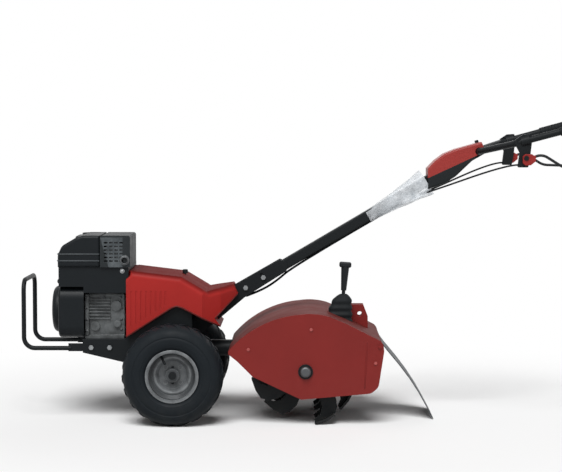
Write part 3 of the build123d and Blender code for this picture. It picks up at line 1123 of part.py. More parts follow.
def seam_rise(point):
    """Height of a point above the console's seam."""
    (rear_x, rear_z), (front_x, front_z) = seam
    return point.Z - front_z - (point.X - front_x) * (rear_z - front_z) / (rear_x - front_x)


def console_shell(corners, open_way):
    """Half of the console: hollow, open along the seam, cut out round the column and arms."""
    face = outline(seam + corners)
    shell = slab(face, -CONSOLE_Y, CONSOLE_Y)
    rims = []
    for edge in shell.edges():
        ends = edge.vertices()
        if abs(ends[0].Y - ends[1].Y) < 1 and min(abs(seam_rise(end)) for end in ends) > 3:
            rims.append(edge)
    shell = fillet(rims, CONSOLE_EDGE)
    room = slab(offset(face, amount=-CONSOLE_WALL), -CONSOLE_Y + CONSOLE_WALL, CONSOLE_Y - CONSOLE_WALL)
    shell -= room
    shell -= Pos(0, 0, open_way) * room
    shell -= column_bar(600, COLUMN_END + YOKE_L + 1, half_h + 0.5, COLUMN_Y + 0.5)
    return shell - rod_y(root_x, -2 * CONSOLE_Y, 2 * CONSOLE_Y, root_z, ARM_R + 1.5)


top_way = Vector(64, 0, 18).normalized()
slide_frame = Plane(origin=(1003, 0, 913.9), x_dir=top_way, z_dir=(-top_way.Z, 0, top_way.X))
top_shell = console_shell(upper_corners, -9)
top_shell -= slide_frame * block(-3.5 - SLIDE_TRAVEL, 3.5, -2.9, 2.9, -9, 4)
keep("console_top", top_shell)
rear_trim = block(root_x - ARM_R - 1.5, root_x + 40, -CONSOLE_Y - 1, CONSOLE_Y + 1, 800, 900)
keep("console_base", console_shell(lower_corners, 9) - rear_trim)
slide = block(-8, 6, -6, 6, -CONSOLE_WALL - SIDE_GAP - 2.5, -CONSOLE_WALL - SIDE_GAP)
slide += block(-3, 3, -2.5, 2.5, -CONSOLE_WALL - SIDE_GAP - 1, 1)
slide += fillet(block(-6, 6, -7, 7, SIDE_GAP, 9).edges().filter_by(Axis.Y), 2.5)
keep("throttle_slide", slide_frame * slide)

# Control cables: straight from each clamp to the column, then along its underside into the horn
cable_h = -half_h - CABLE_R - SIDE_GAP
cable_points = [
    (clamp_front, clamp_mid.Y, pin_z - 22),
    (pin_x - 62, clamp_mid.Y, pin_z - 22),
    on_column(688, -33, 34),
    on_column(640, cable_h, 12),
    on_column(170, cable_h, 12),
    on_column(100, -34, 12),
    on_column(40, -36, 12),
    on_column(-14, -26, 12),
]
cable = bent_rod(cable_points, [60, 90, 90, 160, 120, 60], CABLE_R)
keep("control_cables", cable, flip(cable))

# Clear packing film gathered round the column below the console


def film_body(inset):
    """Flaring sleeve that hugs the column at its lower end."""
    ends = []
    for along, centre, wide, high, corner in ((FILM_START, -3, 23.8, 22.4, 6), (FILM_END, -2, 44, 52, 14)):
        spot = Plane(origin=on_column(along, centre), x_dir=(0, 1, 0), z_dir=along_column)
        ends.append(spot * RectangleRounded(2 * (wide - inset), 2 * (high - inset), corner - inset))
    return loft(ends)


film = film_body(0) - film_body(FILM_T)
keep("column_film", film & block(0, FILM_CUT_X, -COVER_Y, COVER_Y, 0, 2 * FILM_CUT_X))

os.makedirs("parts", exist_ok=True)
for name, shape in PARTS.items():
    export_step(Pos(-X_MID, 0, 0) * shape, f"parts/{name}.step")
print(len(PARTS), "nodes, moved by", round(-X_MID, 3))
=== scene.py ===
"""Looks for a walk-behind rear-tine rotavator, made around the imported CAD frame."""

import math

import bpy
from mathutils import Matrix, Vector


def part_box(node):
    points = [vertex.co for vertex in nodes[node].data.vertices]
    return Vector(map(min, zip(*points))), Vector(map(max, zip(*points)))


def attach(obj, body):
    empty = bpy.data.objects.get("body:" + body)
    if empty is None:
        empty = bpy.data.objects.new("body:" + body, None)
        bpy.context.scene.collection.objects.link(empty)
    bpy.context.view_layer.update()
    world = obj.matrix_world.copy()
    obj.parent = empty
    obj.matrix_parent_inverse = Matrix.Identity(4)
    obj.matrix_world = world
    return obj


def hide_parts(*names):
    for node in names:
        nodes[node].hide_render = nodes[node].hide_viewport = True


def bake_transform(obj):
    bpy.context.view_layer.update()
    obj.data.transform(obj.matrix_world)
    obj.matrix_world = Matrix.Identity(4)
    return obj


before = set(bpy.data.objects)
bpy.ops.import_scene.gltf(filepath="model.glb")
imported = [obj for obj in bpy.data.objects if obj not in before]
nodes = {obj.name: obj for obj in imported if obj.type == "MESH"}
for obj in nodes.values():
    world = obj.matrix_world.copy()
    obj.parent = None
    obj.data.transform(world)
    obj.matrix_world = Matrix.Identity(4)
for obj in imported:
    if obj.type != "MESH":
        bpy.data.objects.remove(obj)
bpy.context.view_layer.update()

# Shared places, in the CAD source's millimetres
X_MID = 443.0612
HANDLE_PIVOT = (230.0, 429.0)
SLOPE = math.radians(30.5)
WHEEL_Y, AXLE_Z = 233.0, 165.0
SIDES = (("left", -1), ("right", 1))


def at(x, y, z):
    """Point of the CAD source's working frame, in metres of the row frame."""
    return Vector(((x - X_MID) / 1000, y / 1000, z / 1000))


def on_column(s, h, y=0.0):
    """Point s along the handle column from its pivot and h square to it."""
    x = HANDLE_PIVOT[0] + s * math.cos(SLOPE) - h * math.sin(SLOPE)
    z = HANDLE_PIVOT[1] + s * math.sin(SLOPE) + h * math.cos(SLOPE)
    return at(x, y, z)


# Materials
NOISE_LOW, NOISE_HIGH = 0.3, 0.7          # where a noise is spread over its full range
RUB_R = 0.0016                            # how far from an edge paint is rubbed off
EDGE_FLAT, EDGE_SHARP = 0.985, 0.86       # agreement of face and rounded normal, away from edges and on them
TOP_SHADE_LOW, TOP_SHADE_HIGH = 0.3, 0.9            # how far up a face looks before painted shade darkens it
TOP_SHADE_DULL = 0.35                          # roughness added on faces that look up, along with their painted shade
ROUGH_LESS, ROUGH_MORE = 0.05, 0.06       # spread of a paint's or plastic's roughness
METAL_LESS, METAL_MORE = 0.1, 0.12        # spread of a metal's roughness


def linear(r, g, b):
    """Linear colour of an sRGB colour given in 0 to 255."""
    out = []
    for v in (r, g, b):
        v /= 255
        out.append(v / 12.92 if v <= 0.04045 else ((v + 0.055) / 1.055) ** 2.4)
    return (*out, 1.0)


class Shader:
    """Principled material with small helpers that add and link nodes."""

    def __init__(self, name):
        self.mat = bpy.data.materials.new(name)
        self.mat.use_nodes = True
        self.tree = self.mat.node_tree
        self.bsdf = self.tree.nodes["Principled BSDF"]
        self.coord = self.add("ShaderNodeTexCoord").outputs["Object"]

    def add(self, kind, **values):
        node = self.tree.nodes.new(kind)
        for key, value in values.items():
            setattr(node, key, value)
        return node

    def link(self, a, b):
        self.tree.links.new(a, b)

    def noise(self, scale, detail=4.0, rough=0.6, stretch=None):
        """Noise from 0 to 1, stretched along an axis if asked."""
        node = self.add("ShaderNodeTexNoise")
        node.inputs["Scale"].default_value = scale
        node.inputs["Detail"].default_value = detail
        node.inputs["Roughness"].default_value = rough
        source = self.coord
        if stretch:
            mapping = self.add("ShaderNodeMapping")
            mapping.inputs["Scale"].default_value = stretch
            self.link(source, mapping.inputs["Vector"])
            source = mapping.outputs["Vector"]
        self.link(source, node.inputs["Vector"])
        return node.outputs["Fac"]

    def ramp(self, value, low, high, out_low=0.0, out_high=1.0):
        """Value mapped from one span to another, held at its ends."""
        node = self.add("ShaderNodeMapRange")
        node.inputs["From Min"].default_value = low
        node.inputs["From Max"].default_value = high
        node.inputs["To Min"].default_value = out_low
        node.inputs["To Max"].default_value = out_high
        self.link(value, node.inputs["Value"])
        return node.outputs["Result"]

    def patches(self, scale, detail=4.0, low=0.0, high=1.0):
        """Uneven patches that run from low to high."""
        return self.ramp(self.noise(scale, detail), NOISE_LOW, NOISE_HIGH, low, high)

    def math(self, kind, a, b):
        node = self.add("ShaderNodeMath", operation=kind)
        for socket, value in zip(node.inputs, (a, b)):
            if isinstance(value, (int, float)):
                socket.default_value = value
            else:
                self.link(value, socket)
        return node.outputs[0]

    def mix(self, share, a, b):
        """Colour a going to colour b by a share. Sockets go by number, as their names are not unique."""
        node = self.add("ShaderNodeMix", data_type="RGBA")
        for socket, value in ((node.inputs[0], share), (node.inputs[6], a), (node.inputs[7], b)):
            if isinstance(value, (tuple, list, float, int)):
                socket.default_value = value
            else:
                self.link(value, socket)
        return node.outputs[2]

    def axis(self, name):
        """One coordinate of the surface point, in metres."""
        node = self.add("ShaderNodeSeparateXYZ")
        self.link(self.coord, node.inputs[0])
        return node.outputs[name]

    def bump(self, height, strength, distance, below=None):
        node = self.add("ShaderNodeBump")
        node.inputs["Strength"].default_value = strength
        node.inputs["Distance"].default_value = distance
        self.link(height, node.inputs["Height"])
        if below is not None:
            self.link(below, node.inputs["Normal"])
        return node.outputs["Normal"]

    def rounded(self, radius):
        """Normal that rounds off sharp edges."""
        node = self.add("ShaderNodeBevel", samples=6)
        node.inputs["Radius"].default_value = radius
        return node.outputs["Normal"]

    def edges(self):
        """Share from 0 to 1 close to sharp edges: where the rounded normal leaves the face's own."""
        dot = self.add("ShaderNodeVectorMath", operation="DOT_PRODUCT")
        self.link(self.rounded(RUB_R), dot.inputs[0])
        self.link(self.add("ShaderNodeNewGeometry").outputs["Normal"], dot.inputs[1])
        return self.ramp(dot.outputs["Value"], EDGE_FLAT, EDGE_SHARP)

    def upward_shade(self):
        """Share from 0 to 1 of faces that look up, where the paint is darkened as painted shade."""
        node = self.add("ShaderNodeSeparateXYZ")
        self.link(self.add("ShaderNodeNewGeometry").outputs["Normal"], node.inputs[0])
        return self.ramp(node.outputs["Z"], TOP_SHADE_LOW, TOP_SHADE_HIGH)

    def bands(self, value, stops):
        """Colour along a value: stops are (position from 0 to 1, colour)."""
        node = self.add("ShaderNodeValToRGB")
        ramp = node.color_ramp
        while len(ramp.elements) < len(stops):
            ramp.elements.new(0.5)
        for element, (position, colour) in zip(ramp.elements, stops):
            element.position = position
            element.color = colour
        self.link(value, node.inputs["Fac"])
        return node.outputs["Color"]

    def set(self, **values):
        for key, value in values.items():
            self.bsdf.inputs[key.replace("_", " ")].default_value = value

    def feed(self, key, value):
        self.link(value, self.bsdf.inputs[key])


def worn_and_top_shaded(shader, colour, edge_colour, edge=0.0, dust=0.0, dust_top=0.2, dust_colour=None,
         spread=0.06, scale=6.0, faded=None):
    """Base colour with slow variation, rubbed edges, dust that thins upwards and painted shade that darkens
    upper faces.
    """
    dark = tuple(c * (1 - spread) for c in colour[:3]) + (1.0,)
    light = tuple(min(1.0, c * (1 + spread)) for c in colour[:3]) + (1.0,)
    base = shader.mix(shader.patches(scale, 3.0), dark, light)
    # Painted shade: faces that look up go towards a darker colour
    if faded:
        base = shader.mix(shader.upward_shade(), base, linear(*faded))
    if dust:
        height = shader.ramp(shader.axis("Z"), dust_top, 0.0)
        specks = shader.ramp(shader.noise(24.0, 6.0), 0.35, 0.8, 0.0, dust)
        base = shader.mix(shader.math("MULTIPLY", height, specks), base, dust_colour or linear(92, 88, 82))
    if edge:
        rub = shader.math("MULTIPLY", shader.edges(), shader.ramp(shader.noise(45.0, 5.0), 0.4, 0.62))
        base = shader.mix(shader.math("MULTIPLY", rub, edge), base, edge_colour)
    shader.feed("Base Color", base)


def paint(name, rgb, rough, peel=0.02, gloss=0.2, edge_rgb=(120, 112, 106), **wear_and_shade):
    """Sprayed paint with a faint orange-peel skin and uneven gloss."""
    s = Shader(name)
    worn_and_top_shaded(s, linear(*rgb), linear(*edge_rgb), **wear_and_shade)
    dull = s.patches(14.0, 5.0, rough - ROUGH_LESS, rough + ROUGH_MORE)
    # Faces that take painted shade are made duller too
    if wear_and_shade.get("faded"):
        dull = s.math("ADD", dull, s.math("MULTIPLY", s.upward_shade(), TOP_SHADE_DULL))
    s.feed("Roughness", dull)
    s.set(Specular_IOR_Level=gloss)
    s.feed("Normal", s.bump(s.noise(420.0, 2.0), peel * 4, 0.0005, s.rounded(0.0012)))
    return s.mat


def moulded(name, rgb, rough, grain=700.0, depth=0.12, gloss=0.15, **wear_and_shade):
    """Moulded plastic or rubber with a fine spark-eroded grain."""
    s = Shader(name)
    worn_and_top_shaded(s, linear(*rgb), linear(84, 84, 86), **wear_and_shade)
    s.feed("Roughness", s.patches(22.0, 5.0, rough - ROUGH_LESS, rough + ROUGH_MORE))
    s.set(Specular_IOR_Level=gloss)
    s.feed("Normal", s.bump(s.noise(grain, 3.0), depth, 0.0006, s.rounded(0.0015)))
    return s.mat


def metal(name, rgb, rough, **wear_and_shade):
    """Bare metal with a fine grain and dull patches."""
    s = Shader(name)
    worn_and_top_shaded(s, linear(*rgb), linear(205, 205, 203), **wear_and_shade)
    s.set(Metallic=1.0)
    s.feed("Roughness", s.patches(60.0, 6.0, rough - METAL_LESS, rough + METAL_MORE))
    s.feed("Normal", s.bump(s.noise(900.0, 2.0), 0.08, 0.0004, s.rounded(0.0006)))
    return s.mat


def cast(name, rgb, rough):
    """Sand-cast alloy: pebbled skin with oil-dark patches, brighter on its edges."""
    s = Shader(name)
    worn_and_top_shaded(s, linear(*rgb), linear(150, 152, 152), edge=0.6, spread=0.5, scale=26.0,
         dust=1.6, dust_top=0.5, dust_colour=linear(30, 32, 33))
    s.set(Metallic=0.35, Specular_IOR_Level=0.4)
    s.feed("Roughness", s.patches(40.0, 6.0, rough - METAL_LESS, rough + METAL_MORE))
    s.feed("Normal", s.bump(s.noise(520.0, 5.0, 0.75), 0.3, 0.001, s.rounded(0.0014)))
    return s.mat


def tyre_rubber():
    """Dull rubber with a fine grain and a little road dust low down."""
    s = Shader("tyre_rubber")
    worn_and_top_shaded(s, linear(18, 23, 27), linear(60, 60, 60), spread=0.12, scale=9.0,
         dust=0.3, dust_top=0.2, dust_colour=linear(52, 52, 50))
    s.set(Specular_IOR_Level=0.12)
    s.feed("Roughness", s.patches(30.0, 6.0, 0.5, 0.66))
    s.feed("Normal", s.bump(s.noise(520.0, 5.0), 0.15, 0.0008))
    return s.mat


BOSS_END = (0.7246, 0.7252)               # where a clutch lever's boss ends, in metres along the machine


def lever_finish():
    """Clutch lever: red moulded boss in front, black coated steel rod behind it."""
    s = Shader("clutch_lever_finish")
    red = s.mix(s.patches(30.0), linear(124, 34, 32), linear(140, 40, 37))
    black = s.mix(s.patches(40.0), linear(18, 20, 22), linear(26, 28, 30))
    s.feed("Base Color", s.mix(s.ramp(s.axis("X"), *BOSS_END), red, black))
    s.feed("Roughness", s.patches(30.0, low=0.34, high=0.5))
    s.set(Specular_IOR_Level=0.18)
    s.feed("Normal", s.bump(s.noise(600.0, 3.0), 0.1, 0.0005, s.rounded(0.0015)))
    return s.mat


# Grey along a wheel's radius, which is given in tenths of a metre
# The dark stops at 0.63 and 0.74, in the rim's well, are painted shade
WHEEL_GREYS_AND_SHADE = [(0.2, 66), (0.3, 92), (0.44, 88), (0.52, 110), (0.58, 118), (0.63, 60), (0.74, 54),
               (0.79, 102), (0.86, 118)]


def wheel_finish():
    """Wheel paint: rubbed pale on the outer flange and the disc's step, with painted shade darkening the well
    between them.
    """
    s = Shader("wheel_grey_paint_and_well_shade")
    centre = at(0, 0, AXLE_Z)
    across = s.math("SUBTRACT", s.axis("X"), centre.x)
    above = s.math("SUBTRACT", s.axis("Z"), centre.z)
    square = s.math("ADD", s.math("MULTIPLY", across, across), s.math("MULTIPLY", above, above))
    share = s.math("MULTIPLY", s.math("SQRT", square, 0.0), 10.0)
    share = s.math("ADD", share, s.patches(30.0, low=-0.006, high=0.006))
    tone = s.bands(share, [(place, linear(grey, grey + 3, grey + 5)) for place, grey in WHEEL_GREYS_AND_SHADE])
    tone = s.mix(s.ramp(s.noise(34.0, 6.0), 0.42, 0.66, 0.0, 0.6), tone, linear(48, 50, 52))
    rub = s.math("MULTIPLY", s.edges(), 0.4)
    s.feed("Base Color", s.mix(rub, tone, linear(186, 188, 190)))
    s.feed("Roughness", s.patches(24.0, low=0.32, high=0.48))
    s.set(Metallic=0.15, Specular_IOR_Level=0.3)
    s.feed("Normal", s.bump(s.noise(420.0, 2.0), 0.08, 0.0005, s.rounded(0.0012)))
    return s.mat


# Grey shield on the guard: x in the CAD source's millimetres, heights in metres. Its front edge leans,
# and SHIELD_FRONT_X is where that edge meets SHIELD_TOP.
SHIELD_LEAN = 0.28
SHIELD_FRONT_X, SHIELD_REAR_X = -244, (-168, -172)
SHIELD_TOP, SHIELD_TOP_EDGE = 0.606, (0.607, 0.603)


def guard_finish():
    """Exhaust guard: pressed grey heat shield in the front part, black paint round it."""
    s = Shader("guard_grey_paint")
    lean = s.math("ADD", s.axis("X"), s.math("MULTIPLY", s.axis("Z"), SHIELD_LEAN))
    front = at(SHIELD_FRONT_X, 0, 0).x + SHIELD_TOP * SHIELD_LEAN
    rear_start, rear_end = (at(x, 0, 0).x for x in SHIELD_REAR_X)
    shield = s.math("MULTIPLY", s.ramp(lean, front - 0.001, front + 0.002),
                    s.ramp(s.axis("X"), rear_start, rear_end))
    shield = s.math("MULTIPLY", shield, s.ramp(s.axis("Z"), *SHIELD_TOP_EDGE))
    grey = s.mix(s.patches(38.0, 6.0), linear(50, 55, 58), linear(84, 89, 92))
    base = s.mix(shield, linear(30, 34, 36), grey)
    s.feed("Base Color", s.mix(s.math("MULTIPLY", s.edges(), 0.35), base, linear(96, 100, 102)))
    s.feed("Roughness", s.patches(30.0, low=0.46, high=0.62))
    s.set(Specular_IOR_Level=0.18)
    s.feed("Normal", s.bump(s.noise(160.0, 4.0), 0.4, 0.0012, s.rounded(0.0015)))
    return s.mat


HOOD_SIDE = (0.2425, 0.2435)              # bolts further out than this stand on the hood's side panels


def bolt_finish():
    """Zinc-plated bolts, dull and finely pitted; those outside on the hood are painted over with it."""
    s = Shader("bolt_zinc")
    out = s.ramp(s.math("ABSOLUTE", s.axis("Y"), 0.0), *HOOD_SIDE)
    zinc = s.mix(s.patches(80.0, 5.0), linear(112, 115, 117), linear(146, 149, 150))
    red = s.mix(s.patches(40.0), linear(142, 58, 54), linear(166, 78, 74))
    s.feed("Base Color", s.mix(out, zinc, red))
    s.feed("Metallic", s.ramp(out, 0.0, 1.0, 0.7, 0.0))
    s.feed("Roughness", s.patches(60.0, 6.0, 0.34, 0.52))
    s.feed("Normal", s.bump(s.noise(800.0, 2.0), 0.1, 0.0004, s.rounded(0.0006)))
    return s.mat


FILM_CLEAR_X, FILM_MILKY_X = 645, 735     # between these the film turns from clear to milky


def film_finish():
    """Thin clear film: milky where it is creased, clearer where it is smooth."""
    s = Shader("packing_film")
    tint = s.ramp(s.noise(28.0, 4.0), 0.35, 0.7)
    s.feed("Base Color", s.mix(tint, linear(200, 207, 213), linear(242, 246, 250)))
    milk = s.ramp(s.noise(26.0, 4.0, 0.55, (1.0, 1.8, 1.0)), 0.32, 0.68, 0.5, 0.82)
    loose = s.ramp(s.axis("X"), at(FILM_CLEAR_X, 0, 0).x, at(FILM_MILKY_X, 0, 0).x, 0.5, 1.0)
    s.feed("Alpha", s.math("MULTIPLY", milk, loose))
    s.feed("Roughness", s.patches(40.0, low=0.16, high=0.34))
    s.set(Specular_IOR_Level=0.6, IOR=1.5)
    s.feed("Normal", s.bump(s.noise(70.0, 4.0, 0.6), 0.3, 0.003))
    return s.mat


MATS = {
    # The red paint's darker colour on upward faces is painted shade
    "red": paint("red_paint", (152, 38, 35), 0.4, gloss=0.1, edge=0.25, edge_rgb=(96, 26, 24),
                 faded=(92, 15, 13)),
    # The lip red, darker than the cover's, is painted shade along the rounded lips
    "lip": paint("red_lip_shaded_paint", (84, 22, 20), 0.46, edge=0.2, edge_rgb=(60, 18, 17)),
    "hood": paint("hood_red_paint", (112, 30, 27), 0.42, edge=0.25, edge_rgb=(88, 26, 24), dust=0.08),
    # The hood top's darker, duller red is painted shade on the same sheet as the hood's red
    "hood_top": paint("hood_top_shaded_paint", (88, 34, 31), 0.62, gloss=0.07, edge=0.2, edge_rgb=(70, 24, 22),
                      spread=0.1),
    "black": paint("black_paint", (21, 24, 26), 0.44, gloss=0.12, edge=0.25, edge_rgb=(58, 60, 62), dust=0.1),
    "tine": paint("tine_paint", (20, 23, 25), 0.48, gloss=0.12, edge=0.5, edge_rgb=(80, 79, 76), dust=0.15),
    "engine": paint("engine_paint", (17, 21, 24), 0.42, peel=0.04, gloss=0.14, edge=0.3,
                    edge_rgb=(58, 62, 64)),
    # The seam grey, lighter than the engine's black, is a painted highlight along the tank's ridges
    "seam": paint("seam_highlight_paint", (58, 62, 65), 0.45, gloss=0.2, edge=0.2, edge_rgb=(90, 94, 96)),
    "guard": guard_finish(),
    "wheel": wheel_finish(),
    "flap": paint("flap_grey_paint", (66, 69, 72), 0.48, gloss=0.15, edge=0.3, edge_rgb=(104, 106, 108),
                  dust=0.1),
    "alloy": cast("cast_alloy", (86, 89, 90), 0.52),
    "steel": metal("bright_steel", (158, 160, 162), 0.36, edge=0.3),
    "bolt": bolt_finish(),
    "iron": metal("turned_iron", (84, 86, 88), 0.48, edge=0.3),
    "bronze": metal("bronze", (176, 138, 80), 0.4),
    "plastic": moulded("black_plastic", (24, 27, 29), 0.46, edge=0.15),
    "grip": moulded("grip_rubber", (22, 25, 27), 0.6, grain=420.0, depth=0.2, gloss=0.12),
    "belt": moulded("belt_rubber", (22, 22, 23), 0.7, grain=900.0, depth=0.3, gloss=0.12),
    "shell": moulded("red_shell_plastic", (140, 46, 42), 0.4, edge=0.1, gloss=0.22),
    "tyre": tyre_rubber(),
    "lever": lever_finish(),
    "film": film_finish(),
}
NODE_MATS = {
    "red": ["belt_cover"],
    "hood": ["hood_panels", "rear_hitch_bracket", "flap_hinge_rod"],
    "hood_top": ["hood_top"],
    "black": ["frame_plates", "engine_deck", "front_bumper", "handle_brackets", "handle_column",
              "handlebar", "lever_clamps", "drive_tube", "wheel_gear_case_halves", "tine_gear_case_halves",
              "idler_arm", "tine_side_bearings", "selector_lever", "wheel_axle", "hub_pins"],
    "tine": ["tines"],
    "engine": ["fan_housing", "recoil_cover", "cylinder_cowl", "air_cleaner", "fuel_tank"],
    "guard": ["muffler_guard"],
    "wheel": ["wheel_rims"],
    "flap": ["rear_flap"],
    "alloy": ["engine_block"],
    "steel": ["drive_shaft", "crankshaft"],
    "bolt": ["hex_bolts", "tine_bolts", "handle_lock_bolt"],
    "iron": ["tine_shaft", "tine_end_nuts", "muffler", "drive_pulley", "driven_pulley", "idler_pulley",
             "flywheel_fan"],
    "bronze": ["wheel_worm_gear", "tine_worm_gear", "shaft_bushes"],
    "belt": ["drive_belt"],
    "plastic": ["cover_knob", "fuel_cap", "recoil_grip", "selector_knob", "console_base",
                "throttle_slide"],
    "shell": ["console_top"],
    "lever": ["clutch_lever_left", "clutch_lever_right"],
    "grip": ["grips", "selector_boot", "control_cables"],
    "film": ["column_film"],
    "tyre": ["tyres"],
}
for key, names in NODE_MATS.items():
    for name in names:
        piece = nodes[name]
        if not piece.material_slots:
            piece.data.materials.append(MATS[key])
        for holder in piece.material_slots:
            holder.material = MATS[key]


# Mesh helpers


def place_object(name, data):
    """New object of some data, linked to the scene."""
    obj = bpy.data.objects.new(name, data)
    bpy.context.scene.collection.objects.link(obj)
    return obj


def mesh_object(name, verts, faces, mat):
    """New smooth mesh object from points and faces."""
    mesh = bpy.data.meshes.new(name)
    mesh.from_pydata([tuple(v) for v in verts], [], faces)
    mesh.validate()
    mesh.update()
    for face in mesh.polygons:
        face.use_smooth = True
    mesh.materials.append(MATS[mat])
    return place_object(name, mesh)


def mesh_piece(name, verts, faces, mat, body, slot):
    """New piece from points and faces that rides on a body."""
    obj = mesh_object(name, verts, faces, mat)
    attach(obj, body)
    return obj


def split_edges(obj, degrees):
    """Smooth shading that keeps edges sharper than an angle."""
    limit = math.radians(degrees)
    mesh = obj.data
    sharp = set()
    ways = {}
    for face in mesh.polygons:
        for key in face.edge_keys:
            ways.setdefault(key, []).append(face.normal)
    for key, normals in ways.items():
        if len(normals) == 2 and normals[0].angle(normals[1], 0.0) > limit:
            sharp.add(key)
    for edge in mesh.edges:
        edge.use_edge_sharp = edge.key in sharp


def turns(count):
    """Angles that divide a full turn evenly."""
    return [2 * math.pi * k / count for k in range(count)]


def metres(profile):
    """Profile of (radius, along) from millimetres to metres."""
    return [(r / 1000, w / 1000) for r, w in profile]


def squared_circle(a, power):
    """Point at an angle of a unit circle that a power below 1 turns towards a square."""
    c, d = math.cos(a), math.sin(a)
    return math.copysign(abs(c) ** power, c), math.copysign(abs(d) ** power, d)


def lathe(profile, centre, axis, steps, closed=True):
    """Points and faces of a profile of (radius, along) turned about an axis through a point."""
    axis = Vector(axis).normalized()
    side = axis.orthogonal().normalized()
    up = axis.cross(side)
    verts, faces = [], []
    count = len(profile)
    for a in turns(steps):
        out = side * math.cos(a) + up * math.sin(a)
        verts += [Vector(centre) + out * r + axis * w for r, w in profile]
    last = count if closed else count - 1
    for i in range(steps):
        j = (i + 1) % steps
        for k in range(last):
            m = (k + 1) % count
            faces.append((i * count + k, j * count + k, j * count + m, i * count + m))
    return verts, faces


def rings(sections, capped=False):
    """Points and faces that join rings of equal point counts, with both ends open or capped."""
    count = len(sections[0])
    verts = [point for section in sections for point in section]
    faces = []
    for i in range(len(sections) - 1):
        for k in range(count):
            m = (k + 1) % count
            faces.append((i * count + k, i * count + m, (i + 1) * count + m, (i + 1) * count + k))
    if capped:
        faces.append(tuple(reversed(range(count))))
        faces.append(tuple(range(len(verts) - count, len(verts))))
    return verts, faces


def add_shape(verts, faces, more, polygons):
    """Add another shape's points and faces to the lists of a mesh."""
    faces += [tuple(len(verts) + k for k in polygon) for polygon in polygons]
    verts += more


DOME_OUT, DOME_R = 0.7, 0.5               # a tube's domed end: how far out and how wide, in its radius


def tube(name, points, radius, mat, body, slot, sides=10):
    """Round bead or stem along a line of points, with domed ends."""
    points = [Vector(p) for p in points]
    last = len(points) - 1
    ways = [(points[min(i + 1, last)] - points[max(i - 1, 0)]).normalized() for i in range(last + 1)]
    stations = [(points[0] - ways[0] * radius * DOME_OUT, ways[0], radius * DOME_R)]
    stations += [(p, w, radius) for p, w in zip(points, ways)]
    stations.append((points[-1] + ways[-1] * radius * DOME_OUT, ways[-1], radius * DOME_R))
    side = ways[0].orthogonal().normalized()
    sections = []
    for place, way, size in stations:
        side = (side - way * side.dot(way)).normalized()
        up = way.cross(side)
        sections.append([place + (side * math.cos(a) + up * math.sin(a)) * size for a in turns(sides)])
    verts, faces = rings(sections, capped=True)
    mesh_piece(name, verts, faces, mat, body, slot)


# A flanged dome head: (radius, height) in its own radius
BOLT_HEAD = [(0.0002, 0.72), (0.3, 0.68), (0.55, 0.56), (0.7, 0.36), (0.74, 0.22), (1.0, 0.2), (1.0, -0.1)]
BOLT_STEPS = 14


def bolt_heads(name, places, way, radius, mat, body, slot):
    """Row of flanged dome heads that stand on a surface, facing one way."""
    profile = [(r * radius, w * radius) for r, w in BOLT_HEAD]
    verts, faces = [], []
    for place in places:
        add_shape(verts, faces, *lathe(profile, place, way, BOLT_STEPS, closed=False))
    split_edges(mesh_piece(name, verts, faces, mat, body, slot), 40)


# Tyres: carcass with sidewall rings and staggered cleats up to the CAD's outline
TREAD_R, TREAD_FLAT = 165.0, 30
SHOULDER_DROP, SHOULDER_W = 12.0, 23.5
TYRE_STEPS = 128
CLEATS, CLEAT_H, CLEAT_W = 22, 4.0, 16.0
CLEAT_SPANS, CLEAT_IN, CLEAT_RUN = 7, 3, 46
CLEAT_SWEEP = 0.18                        # turn of a cleat from the middle to the shoulder, in radians
CLEAT_ROOT = 9.0                          # how far a cleat reaches down into the carcass
CLEAT_MID_R = 160
CLEAT_FOOT, CLEAT_CROWN = 1.15, 0.82      # shares of its width at the foot and on top
CLEAT_END_DROP, CLEAT_TOP_DROP, CLEAT_OUT_DROP = 1.0, 0.1, 2.2
TYRE_HALF = [
    (79.1, 24), (79.1, 51.9), (88, 51.9), (91, 56), (95, 59.5), (99, 61.2), (101, 61.2), (102, 62.4),
    (106, 63.2), (112, 63.4), (118, 63.2), (124, 62.8), (125.5, 61.6), (128, 61.5), (129.5, 62.4),
    (133, 61.8), (140, 59.6), (147, 55.5), (153, 49), (158, 39), (160.6, 25), (161.2, 10),
]


def tread_r(w):
    """Radius of the CAD tyre's outline at a distance from its middle plane."""
    w = abs(w)
    return TREAD_R if w <= TREAD_FLAT else TREAD_R - SHOULDER_DROP * (w - TREAD_FLAT) / SHOULDER_W


def cleat(centre, flank, start):
    """One cleat, from the tread's middle out to one shoulder."""
    sections = []
    for k in range(CLEAT_SPANS):
        t = k / (CLEAT_SPANS - 1)
        w = flank * (CLEAT_IN + CLEAT_RUN * t)
        turn = start + CLEAT_SWEEP * t
        drop = CLEAT_END_DROP if k in (0, CLEAT_SPANS - 1) else CLEAT_TOP_DROP
        top = tread_r(w) - drop - CLEAT_OUT_DROP * t ** 3
        low = tread_r(w) - CLEAT_H - CLEAT_ROOT
        section = []
        for r, across in ((low, -CLEAT_FOOT), (top, -CLEAT_CROWN), (top, CLEAT_CROWN), (low, CLEAT_FOOT)):
            a = turn + across * CLEAT_W / 2 / CLEAT_MID_R
            section.append(centre + Vector((math.sin(a) * r, w, math.cos(a) * r)) / 1000)
        sections.append(section)
    return rings(sections, capped=True)


def make_tyre(name, side):
    centre = at(0, side * WHEEL_Y, AXLE_Z)
    profile = TYRE_HALF + [(r, -w) for r, w in reversed(TYRE_HALF)]
    verts, faces = lathe(metres(profile), centre, (0, 1, 0), TYRE_STEPS)
    for flank, stagger in ((-1, 0.0), (1, 0.5)):
        for i in range(CLEATS):
            add_shape(verts, faces, *cleat(centre, flank, 2 * math.pi * (i + stagger) / CLEATS))
    obj = mesh_piece(name, verts, faces, "tyre", "wheel_axle", "tyre_rubber")
    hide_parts("tyres")
    split_edges(obj, 38)


for side_name, side in SIDES:
    make_tyre(f"tyre_{side_name}", side)

